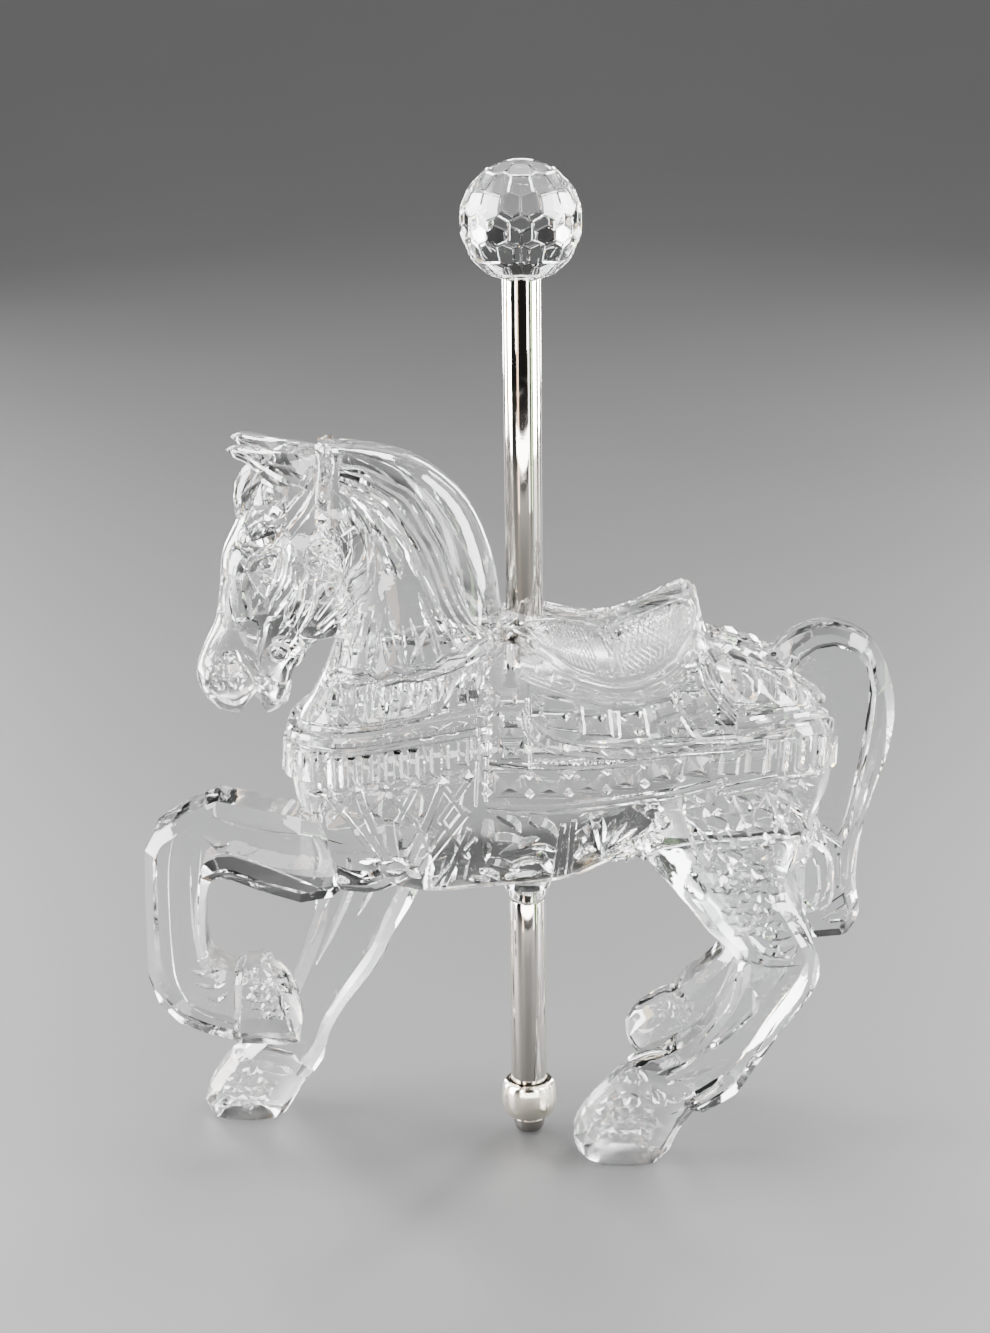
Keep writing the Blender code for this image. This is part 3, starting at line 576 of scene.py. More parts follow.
class Carver:
    """Places raised and cut carving on one side of the horse, plainer on the side that faces away."""

    def __init__(self, skin: Skin, side: float) -> None:
        """Start with nothing carved on the given skin and side."""
        self.skin = skin
        self.side = side
        self.plain = side == RIGHT
        self.raised: list[Form] = []
        self.cuts: list[Form] = []
        self.set_in: list[Form] = []

    def draw(self, *strokes: Stroke) -> None:
        """Raise lines along their paths on the skin, or cut them where they are grooves.

        Args:
            strokes: The lines in order.
        """
        for stroke in strokes:
            kept_in = self.cuts if stroke.section is Section.GROOVE else self.raised
            kept_in.append(self._along(stroke))

    def _along(self, stroke: Stroke) -> Form:
        """Draw the section of a line along its path on the skin.

        Args:
            stroke: The line.

        Returns:
            The closed form.
        """
        path = stroke.path
        pairs = list(zip(path, path[1:]))
        around = ARC_PER_DEGREE * sum(abs(a[-1] - b[-1]) for a, b in pairs) if len(path[0]) == 3 else 0.0
        run = around + sum(math.dist(a[:2], b[:2]) for a, b in pairs)
        count = max(3, math.ceil(run / stroke.pace) + 1)
        stances = [self.skin.stance(curve_at(path, i / (count - 1)), self.side) for i in range(count)]
        rings = []
        for i, (here, out, _up) in enumerate(stances):
            way = (stances[min(i + 1, count - 1)][0] - stances[max(i - 1, 0)][0]).normalized()
            across = out.cross(way).normalized()
            share = stroke.taper(i / (count - 1))
            crest, sink, half_width = stroke.rise * max(share, LEAST_CREST), stroke.sink, stroke.half_width
            rings.append([
                here + across * wide * half_width * share + out * high * (crest if high > 0.0 else sink)
                for wide, high in stroke.section.value
            ])
        return drawn_out(rings)

    def stud(self, place: Point, stud: Stud, lean: float = 0.0) -> None:
        """Raise a four-sided stud.

        Args:
            place: Where its middle is.
            stud: Its sizes.
            lean: Its turn on the surface in degrees.
        """
        here, out, up = self.skin.stance(place, self.side)
        turn = Matrix.Rotation(math.radians(lean) * self.side, 3, out)
        along = turn @ up.cross(out).normalized()
        up = turn @ up
        rings = []
        for narrow, rise in stud.layers:
            half_a, half_u = (max(half - narrow, NARROWEST) for half in (stud.half_along, stud.half_up))
            rings.append([
                here + along * a * half_a + up * u * half_u + out * rise
                for a, u in ((-1, -1), (1, -1), (1, 1), (-1, 1))
            ])
        self.raised.append(drawn_out(rings))

    def boss(self, place: Point, boss: Boss, kept_in: list[Form] | None = None) -> None:
        """Raise a round boss, or shape one to be cut out or set in after the cuts.

        Args:
            place: Where its middle is.
            boss: Its sizes.
            kept_in: The list that takes it, where it isn't simply raised.
        """
        here, out, up = self.skin.stance(place, self.side)
        along = up.cross(out).normalized()
        spokes = [
            along * math.cos(a) * boss.squeeze + up * math.sin(a)
            for a in (FULL_TURN * (i + 0.25) / boss.sides for i in range(boss.sides))
        ]
        rings = [
            [here + spoke * boss.radius * share + out * rise for spoke in spokes]
            for share, rise in boss.layers
        ]
        (self.raised if kept_in is None else kept_in).append(drawn_out(rings))

    def facet(self, corners: Path, rise: float, top: float = 0.6, crown: float = 0.4) -> None:
        """Raise a many-cornered facet with sloping sides.

        Args:
            corners: Its corners in order.
            rise: How far its rim stands out.
            top: The share of its size at the top.
            crown: How far the top stands out beyond the rim.
        """
        self._patch(corners, ((1.0, -1.0), (1.0, rise), (top, rise + crown)), self.raised)

    def window(self, corners: Path, depth: float, floor: float = 0.8) -> None:
        """Cut a many-cornered recess with sloping sides.

        Args:
            corners: Its corners in order.
            depth: How deep it goes.
            floor: The share of its size at the floor.
        """
        self._patch(corners, ((1.0 + 0.5 * (1.0 - floor), 0.5), (floor, -depth)), self.cuts)

    def _patch(self, corners: Path, layers: Path, kept_in: list[Form]) -> None:
        """Draw a closed form over corners on the skin.

        Args:
            corners: Its corners in order.
            layers: The share of its size and the rise of each layer.
            kept_in: The list that takes the form.
        """
        stances = [self.skin.stance(corner, self.side) for corner in corners]
        middle = sum((here for here, _out, _up in stances), Vector()) / len(stances)
        out = sum((out for _here, out, _up in stances), Vector()).normalized()
        kept_in.append(drawn_out([
            [middle + (here - middle) * share + out * rise for here, _out, _up in stances]
            for share, rise in layers
        ]))


@dataclass(frozen=True)
class BodyForms:
    """The horse's plain forms: trunk, neck, head, legs and tail, in hundredths of its height."""

    grain: float = 0.42
    rounds: int = 4
    kept: float = 0.22
    trunk: Path = (
        (-31.2, 58.0, -31.2, 53.0, 3.2, 0.0), (-29.4, 63.0, -29.6, 47.5, 7.6, 0.0),
        (-24.0, 67.5, -24.5, 40.4, 9.8, 0.0), (-15.0, 71.0, -15.0, 36.8, 10.7, 0.0),
        (-5.0, 72.5, -5.0, 37.2, 11.0, 0.0), (5.0, 72.5, 5.0, 38.2, 11.0, 0.0),
        (14.0, 72.8, 14.0, 42.0, 11.0, 0.0), (23.0, 72.6, 23.0, 44.0, 10.9, 0.0),
        (31.5, 69.6, 32.0, 44.6, 10.2, 0.0), (37.5, 65.0, 38.0, 47.0, 8.0, 0.0),
        (40.4, 59.0, 40.6, 51.5, 4.0, 0.0),
    )
    neck: Path = (
        (-1.5, 66.0, -31.0, 53.5, 9.6, 0.0), (-2.9, 75.5, -29.4, 61.8, 8.8, 0.0),
        (-4.1, 83.5, -26.0, 69.5, 7.4, 0.0), (-7.3, 91.1, -24.4, 75.5, 6.4, 0.0),
        (-13.3, 96.6, -24.6, 80.0, 5.8, 0.0), (-20.0, 98.6, -27.4, 82.0, 5.4, 0.0),
        (-26.5, 98.9, -30.5, 84.0, 4.6, 0.0),
    )
    head: Path = (
        (-31.0, 98.2, -22.0, 93.0, 3.8, 0.0), (-34.6, 95.0, -21.4, 85.0, 5.4, 0.0),
        (-37.0, 89.4, -22.6, 77.6, 5.8, 0.0), (-39.4, 84.4, -26.2, 72.8, 5.3, 0.0),
        (-39.9, 80.4, -29.0, 70.2, 4.5, 0.0), (-40.6, 75.4, -30.8, 67.2, 3.9, 0.0),
        (-42.6, 71.0, -31.3, 64.2, 3.8, 0.0), (-43.6, 67.4, -33.6, 62.0, 3.6, 0.0),
        (-42.4, 64.4, -38.8, 62.0, 2.4, 0.0),
    )
    near_arm: Path = (
        (-16.0, 53.0, -13.0, 42.6, 2.8, -6.0), (-22.0, 51.6, -19.6, 39.6, 3.9, -6.8),
        (-27.4, 50.8, -25.0, 39.8, 3.4, -7.0),
    )
    near_foreleg: Path = (
        (-22.6, 46.3, -22.5, 41.1, 2.0, -6.2), (-26.2, 48.9, -26.0, 38.9, 3.3, -7.0),
        (-29.6, 50.6, -29.9, 38.6, 4.2, -7.4), (-35.1, 51.9, -35.3, 40.4, 4.3, -7.4),
        (-40.6, 53.1, -38.9, 41.9, 4.3, -7.4), (-44.9, 51.2, -40.5, 42.2, 4.3, -7.4),
        (-49.0, 48.4, -41.6, 41.9, 4.2, -7.4), (-50.3, 45.9, -42.1, 41.1, 4.1, -7.4),
        (-50.5, 39.4, -42.7, 38.6, 3.9, -7.4), (-50.6, 33.6, -43.0, 33.8, 3.9, -7.4),
        (-50.6, 27.9, -42.6, 31.1, 3.9, -7.4), (-49.3, 24.1, -41.7, 29.7, 4.0, -7.4),
        (-46.8, 21.3, -40.5, 28.9, 4.0, -7.4), (-43.3, 19.7, -39.2, 28.4, 3.9, -7.4),
        (-39.3, 18.5, -37.7, 28.7, 3.8, -7.4),
    )
    near_fore_hoof: Path = (
        (-40.4, 19.1, -38.4, 28.2, 3.6, -7.4), (-38.9, 18.2, -37.8, 29.0, 4.3, -7.4),
        (-35.5, 18.2, -35.7, 29.5, 4.5, -7.4), (-32.8, 18.1, -34.4, 28.5, 4.6, -7.4),
        (-30.8, 18.4, -32.5, 26.4, 4.4, -7.4), (-30.5, 20.2, -31.3, 23.8, 3.4, -7.4),
    )
    far_arm: Path = ((-29.0, 50.0, -12.0, 46.0, 3.4, 6.3), (-29.0, 41.0, -14.0, 38.0, 3.9, 6.9))
    far_foreleg: Path = (
        (-28.4, 46.0, -13.4, 43.0, 3.0, 6.6), (-29.2, 38.0, -14.5, 35.0, 4.0, 7.1),
        (-29.2, 30.6, -18.3, 28.2, 4.1, 7.4), (-31.0, 24.6, -20.2, 23.8, 4.0, 7.4),
        (-33.6, 18.0, -25.2, 17.2, 3.7, 7.4), (-36.6, 12.6, -27.9, 12.4, 3.6, 7.4),
        (-39.4, 10.4, -28.8, 8.6, 3.8, 7.4), (-40.8, 9.0, -31.0, 5.6, 3.7, 7.4),
    )
    far_fore_hoof: Path = (
        (-39.6, 10.0, -30.2, 6.8, 3.7, 7.4), (-41.2, 9.4, -30.9, 5.4, 4.7, 7.4),
        (-42.8, 7.6, -32.0, 3.6, 4.9, 7.4), (-44.8, 4.6, -33.2, 1.6, 5.1, 7.4),
        (-45.8, 2.0, -34.2, 0.0, 5.0, 7.4), (-45.0, 0.2, -35.6, -1.0, 4.3, 7.4),
    )
    near_thigh: Path = (
        (17.0, 56.0, 39.4, 56.0, 4.6, -5.2), (15.2, 46.0, 37.0, 48.0, 4.9, -5.9),
        (19.0, 40.0, 34.2, 41.4, 4.8, -6.5), (22.6, 35.6, 35.2, 36.6, 4.4, -6.7),
    )
    near_hind_leg: Path = (
        (20.0, 42.0, 32.6, 43.0, 3.6, -6.4), (20.8, 38.6, 34.0, 39.6, 4.6, -6.6),
        (24.0, 33.8, 36.8, 34.6, 4.5, -6.8), (28.1, 29.4, 38.9, 29.2, 4.3, -6.8),
        (27.1, 25.2, 38.2, 24.8, 4.1, -6.8), (24.8, 20.4, 34.2, 19.0, 3.9, -6.8),
        (21.4, 16.7, 30.4, 13.2, 3.8, -6.8), (16.6, 14.6, 28.0, 9.6, 4.0, -6.8),
        (13.6, 12.6, 23.6, 6.8, 3.8, -6.8),
    )
    near_hind_hoof: Path = (
        (14.6, 13.2, 24.2, 7.8, 3.7, -6.8), (12.4, 12.0, 22.2, 6.0, 4.7, -6.8),
        (10.0, 9.6, 20.6, 3.8, 4.9, -6.8), (7.2, 6.2, 19.6, 1.6, 5.2, -6.8),
        (5.9, 3.2, 18.2, -0.6, 5.3, -6.8), (6.6, 0.8, 16.4, -1.6, 4.6, -6.8),
    )
    far_thigh: Path = (
        (19.0, 56.0, 38.8, 55.0, 4.3, 5.6), (18.0, 46.0, 39.4, 46.4, 4.5, 6.3),
        (22.0, 38.0, 38.4, 37.4, 4.2, 7.1),
    )
    far_hind_leg: Path = (
        (19.0, 44.0, 38.4, 44.0, 3.6, 6.6), (22.0, 38.0, 38.2, 37.4, 4.1, 7.1),
        (27.4, 29.2, 38.0, 30.0, 4.0, 7.4), (27.0, 23.8, 35.6, 23.0, 3.8, 7.4),
        (23.0, 20.4, 29.6, 14.4, 3.7, 7.4), (19.8, 16.8, 25.8, 10.6, 3.6, 7.4),
    )
    far_hind_hoof: Path = (
        (20.6, 17.8, 26.6, 11.6, 3.6, 7.4), (19.0, 17.4, 25.3, 10.0, 4.4, 7.4),
        (17.0, 16.2, 23.4, 8.2, 4.6, 7.4), (14.8, 14.4, 20.6, 6.6, 4.7, 7.4),
        (13.6, 12.4, 17.8, 6.6, 4.2, 7.4), (13.8, 11.0, 16.0, 8.2, 3.0, 7.4),
    )
    # the two round knobs: middle, radius
    fetlocks: Path = ((14.1, 11.6, 2.5), (16.7, 8.9, 2.5))
    tail: Path = (
        (31.0, 68.6, 33.0, 61.0, 2.4, 0.0), (35.6, 72.4, 36.4, 60.0, 3.0, 0.0),
        (41.2, 73.5, 37.6, 58.0, 3.2, 0.0), (46.6, 70.2, 38.0, 55.0, 3.3, 0.0),
        (48.8, 63.4, 37.6, 52.0, 3.3, 0.0), (48.2, 56.4, 37.4, 48.6, 3.3, 0.0),
        (46.4, 50.6, 37.0, 45.0, 3.2, 0.0), (44.8, 44.0, 36.0, 41.2, 3.1, 0.0),
        (44.3, 37.6, 34.9, 37.4, 3.0, 0.0), (44.9, 33.0, 35.6, 32.8, 2.9, 0.0),
        (43.4, 29.8, 38.4, 29.4, 2.4, 0.0),
    )

    def swellings(self) -> list[Form]:
        """Return the soft swellings of the chin, and of cheeks, brows, nostrils, lips and shoulders."""
        forms = [swelling((-33.8, 0.0, 64.6), (2.5, 2.6, 2.1), 20.0)]
        for side in (LEFT, RIGHT):
            forms += [
                swelling((-27.6, side * 3.2, 78.2), (4.6, 3.0, 5.6), -30.0),
                swelling((-34.4, side * 3.9, 86.3), (2.8, 1.9, 1.8), 20.0),
                swelling((-40.2, side * 2.2, 67.4), (2.5, 1.8, 2.3), 0.0),
                swelling((-38.6, side * 1.6, 64.2), (2.6, 1.6, 1.7), -10.0),
                swelling((-17.0, side * 6.4, 52.0), (7.6, 4.8, 9.4), 25.0),
            ]
        return forms

    def knobs(self) -> list[Form]:
        """Return the round knobs on both sides of the near hind fetlock."""
        forms = []
        for x, z, radius in self.fetlocks:
            bm = bmesh.new()
            bmesh.ops.create_icosphere(bm, subdivisions=2, radius=radius)
            bmesh.ops.scale(bm, vec=(1.0, 0.6, 1.0), verts=bm.verts)
            bmesh.ops.translate(bm, vec=(x, self.near_hind_leg[-1][-1] - 3.3, z), verts=bm.verts)
            forms.append(bm)
        return forms

    def limbs(self) -> list[Form]:
        """Return the flat-sided legs and tail with their cut edges, and the hooves."""
        slab = slab_outline(0.3)
        hoof = rounded_outline(12, 2.6)
        return [
            loft(self.near_foreleg, slab, 1), loft(self.far_foreleg, slab, 2),
            loft(self.near_hind_leg, slab, 2), loft(self.far_hind_leg, slab, 2),
            loft(self.near_fore_hoof, slab, 1), loft(self.far_fore_hoof, hoof, 2),
            loft(self.near_hind_hoof, hoof, 2), loft(self.far_hind_hoof, hoof, 2),
            loft(self.tail, slab_outline(0.32), 3),
            *self.knobs(),
        ]

    def build(self) -> Form:
        """Melt the plain forms of the body into one and join the limbs to it."""
        slim = rounded_outline(32, 2.2)
        slab = slab_outline(0.3)
        forms = [
            loft(self.trunk, rounded_outline(40, 2.3)),
            loft(self.neck, slim),
            loft(self.head, slim),
            *(loft(root, slab) for root in (self.near_arm, self.far_arm, self.near_thigh, self.far_thigh)),
            *self.swellings(),
        ]
        body = melted(forms, self.grain, self.rounds, self.kept)
        for bm in forms:
            bm.free()
        return combined(body, self.limbs(), "UNION")


@dataclass(frozen=True)
class Mane:
    """Twisted strands along the crest, pointed locks and thin ridges below, and the hem and pleats."""

    strands: tuple[Path, ...] = (
        (
            (-23.9, 95.0), (-20.8, 94.6), (-17.4, 93.2), (-14.5, 90.8), (-12.3, 87.6), (-10.4, 83.6),
            (-9.0, 79.1), (-7.2, 74.7), (-5.0, 71.9),
        ),
        (
            (-23.8, 94.2), (-20.8, 93.8), (-17.9, 92.1), (-15.3, 89.9), (-13.2, 86.6), (-11.5, 83.1),
            (-10.1, 79.1), (-8.5, 75.0), (-6.2, 71.9),
        ),
        (
            (-23.8, 93.2), (-21.2, 92.7), (-18.5, 90.9), (-16.1, 88.6), (-14.0, 85.6), (-12.5, 82.3),
            (-11.1, 78.5), (-9.8, 74.9), (-7.6, 71.5),
        ),
        (
            (-23.7, 92.2), (-21.7, 91.5), (-19.4, 89.9), (-17.0, 87.5), (-15.2, 84.5), (-13.7, 81.3),
            (-12.4, 77.8), (-11.2, 74.3), (-9.4, 70.9),
        ),
    )
    strand_sway: float = 0.35
    strand_half_width: float = 0.55
    strand_rise: float = 0.95
    crest: Stroke = Stroke((
        (-23.9, 97.5), (-20.3, 96.9), (-16.5, 95.2), (-13.0, 92.4), (-10.2, 88.8), (-8.0, 84.5),
        (-6.3, 79.9), (-5.1, 75.8), (-4.2, 72.6),
    ), Section.ROLL, 0.3, 0.35, pace=1.2)
    locks: Blades = Blades((
        (-22.5, 91.7, -19.3, 88.2, 0.75), (-22.5, 90.4, -19.9, 86.2, 0.8), (-20.9, 90.1, -17.4, 85.2, 0.8),
        (-19.0, 89.5, -15.4, 85.8, 0.75), (-19.3, 88.2, -15.9, 81.9, 0.8), (-17.3, 86.8, -13.8, 81.6, 0.8),
        (-15.9, 85.8, -13.2, 80.5, 0.75), (-19.3, 86.2, -17.2, 81.3, 0.9), (-18.1, 84.1, -16.0, 80.0, 0.8),
        (-15.0, 83.7, -11.9, 78.2, 0.7), (-13.8, 81.8, -11.2, 76.1, 0.6), (-18.9, 83.6, -17.8, 80.5, 0.8),
        (-22.3, 89.9, -21.6, 86.9, 0.7), (-16.0, 88.2, -13.3, 83.6, 0.7),
    ), Section.LOCK, 0.85, leaf, bow=(0.4, 0.3), sway=1.9)
    ridges: Blades = Blades((
        (-19.8, 68.1, -18.3, 76.4, 0.42), (-18.2, 67.8, -19.1, 74.0, 0.36),
        (-16.3, 67.9, -17.9, 76.4, 0.42), (-15.8, 68.0, -16.1, 73.7, 0.32),
        (-15.2, 68.1, -13.0, 73.1, 0.42), (-13.3, 68.5, -15.1, 74.6, 0.36),
        (-11.6, 69.2, -13.9, 78.2, 0.42), (-11.1, 69.4, -12.5, 74.5, 0.34), (-9.5, 70.4, -11.8, 77.3, 0.4),
        (-9.2, 70.4, -10.4, 75.0, 0.34), (-8.1, 71.0, -9.5, 75.0, 0.34), (-20.6, 68.0, -19.8, 72.8, 0.4),
    ), Section.ROOF, 0.75, spindle, 1.3)
    side_locks: Blades = Blades((
        (-20.1, 76.6, -21.8, 70.0, 0.62), (-21.2, 75.5, -23.4, 69.8, 0.6), (-22.3, 74.6, -24.1, 66.8, 0.62),
        (-23.4, 73.6, -24.8, 70.1, 0.5), (-24.4, 72.4, -25.4, 66.8, 0.5), (-19.8, 74.6, -20.8, 67.6, 0.6),
        (-21.6, 72.3, -22.4, 67.2, 0.5), (-22.9, 71.1, -23.1, 66.9, 0.42),
    ), Section.LOCK, 0.7, leaf, bow=(0.4, 0.3), sway=1.9)
    hem: Stroke = Stroke((
        (-25.8, 66.7), (-24.1, 67.6), (-22.4, 67.1), (-20.7, 67.5), (-19.3, 66.5), (-17.5, 67.6),
        (-15.7, 67.1), (-14.1, 67.9), (-12.0, 68.0), (-10.4, 69.2), (-8.3, 69.6), (-6.7, 71.0),
        (-5.0, 72.1),
    ), Section.ROLL, 0.6, 0.8, pace=0.8)
    under_hem: Stroke = Stroke((
        (-26.0, 65.4), (-24.2, 66.4), (-22.3, 65.6), (-20.3, 66.1), (-18.5, 65.5), (-16.3, 66.2),
        (-14.1, 66.1), (-11.9, 66.8), (-9.7, 67.5), (-7.5, 68.5), (-5.2, 69.9),
    ), Section.ROOF, 0.4, 0.55, pace=0.9)
    pleats: int = 30
    pleat_drop: float = 5.4
    pleat_half_width: float = 0.56
    pleat_rise: float = 0.95

    def carve(self, carver: Carver) -> None:
        """Carve the mane on one side.

        Args:
            carver: The carver of that side.
        """
        for number, strand in enumerate(self.strands):
            swayed = [
                (x, z + self.strand_sway * math.sin(2.6 * i + number)) for i, (x, z) in enumerate(strand)
            ]
            carver.draw(Stroke(swayed, Section.ROOF, self.strand_half_width, self.strand_rise, pace=1.1))
        carver.draw(self.crest, self.hem, self.under_hem)
        if carver.plain:
            return
        for blades in (self.locks, self.side_locks, self.ridges):
            carver.draw(*blades.strokes())
        for i in range(self.pleats):
            carver.draw(self.pleat(i))

    def pleat(self, number: int) -> Stroke:
        """Return one of the dense pleats of the collar below the hem.

        Args:
            number: Its number, counted backwards from the chest.

        Returns:
            The pleat, shorter towards the back and swayed a little.
        """
        place = number / (self.pleats - 1)
        x, z = curve_at(self.under_hem.path, place)
        sway = 0.5 * math.sin(2.4 * number)
        drop = self.pleat_drop - 1.5 * place + 0.5 * math.sin(1.7 * number)
        path = ((x, z - 0.5), (x + 0.5 * sway, z - 0.5 * drop), (x - 0.3 + 1.3 * sway, z - drop))
        half_width = self.pleat_half_width + 0.14 * math.sin(3.1 * number)
        return Stroke(path, Section.LOCK, half_width, self.pleat_rise, leaf, 1.3)


@dataclass(frozen=True)
class Bridle:
    """The straps of the bridle with the spoked rosette, the buckle and the bit."""

    crown: Stroke = Stroke(
        ((-25.8, 98.0), (-25.5, 95.0), (-26.0, 91.0), (-26.2, 87.1)), Section.PIPED, 1.05, 0.6, pace=0.9,
    )
    crown_studs: int = 5
    crown_stud: Stud = Stud.pointed(0.55, 0.55, 0.6, 1.1)
    brow_band: Stroke = Stroke(
        ((-26.8, 91.8), (-28.9, 88.7), (-30.9, 86.0), (-32.3, 84.2)), Section.PIPED, 0.8, 0.6, pace=0.9,
    )
    cheek_strap: Stroke = Stroke(
        ((-28.1, 79.9), (-28.4, 77.0), (-29.9, 73.7), (-31.5, 71.4)), Section.PIPED, 0.75, 0.55, pace=0.9,
    )
    inner_latch: Stroke = Stroke(
        ((-23.9, 88.2), (-22.9, 85.5), (-22.6, 82.8), (-23.7, 80.1), (-25.5, 77.4), (-27.5, 74.7)),
        Section.ROLL, 0.3, 0.5, pace=0.9,
    )
    throat_latch: Stroke = Stroke((
        (-24.3, 92.5), (-22.7, 90.5), (-21.2, 87.4), (-20.1, 84.2), (-19.9, 81.4), (-20.4, 79.3),
        (-22.1, 77.9), (-24.8, 75.5), (-27.0, 73.4),
    ), Section.PIPED, 0.55, 0.7, pace=0.9)
    buckle_place: Point = (-22.6, 86.4)
    buckle: Stud = Stud(1.15, 0.6, ((0.0, -1.0), (0.0, 0.8), (0.2, 1.0)))
    rosette: Point = (-26.2, 83.0)
    rosette_radius: float = 2.75
    spokes: int = 6
    spoke_half_width: float = 0.2
    dish_reach: float = 1.55
    dish: Boss = Boss(0.62, ((1.1, 0.4), (0.95, -0.1), (0.45, -0.5)), 6)
    button: Boss = Boss(0.78, ((1.0, -1.0), (1.0, 0.5), (0.8, 0.8), (0.35, 0.45)), 12)
    bit_place: Point = (-32.5, 70.3)
    bit_ring: Boss = Boss(1.5, ((1.0, -1.0), (1.0, 0.5), (0.86, 0.95), (0.66, 0.6)), 16)
    bit_end: Boss = Boss(0.6, ((1.0, -1.0), (1.0, 0.9), (0.6, 1.2)), 8)

    def carve(self, carver: Carver) -> None:
        """Carve the bridle on one side.

        Args:
            carver: The carver of that side.
        """
        carver.draw(self.crown)
        for i in range(self.crown_studs):
            carver.stud(curve_at(self.crown.path, 0.1 + 0.19 * i), self.crown_stud, 45.0)
        carver.draw(self.brow_band, self.cheek_strap, self.inner_latch, self.throat_latch)
        carver.stud(self.buckle_place, self.buckle, -38.0)
        self.carve_rosette(carver)
        for boss in (self.bit_ring, self.bit_end):
            carver.boss(self.bit_place, boss)

    def carve_rosette(self, carver: Carver) -> None:
        """Carve the rosette: a ring with spokes, a sunk dish between them and a round middle.

        Args:
            carver: The carver of one side.
        """
        def at(reach: float, turn: float) -> Point:
            """Return a place on the rosette from its reach and its turn about the middle."""
            return (self.rosette[0] + reach * math.cos(turn), self.rosette[1] + reach * math.sin(turn))

        rim = self.rosette_radius * 0.92
        ring = [at(rim, FULL_TURN * i / 8) for i in range(9)]
        carver.draw(Stroke(ring, Section.ROLL, 0.26, 0.6, pace=0.9))
        for i in range(self.spokes):
            turn = math.radians(20.0) + FULL_TURN * i / self.spokes
            spoke = (at(0.5, turn), at(rim, turn))
            carver.draw(Stroke(spoke, Section.ROOF, self.spoke_half_width, 0.6, pace=1.2))
            carver.boss(at(self.dish_reach, turn + math.pi / self.spokes), self.dish, carver.cuts)
        carver.boss(self.rosette, self.button)


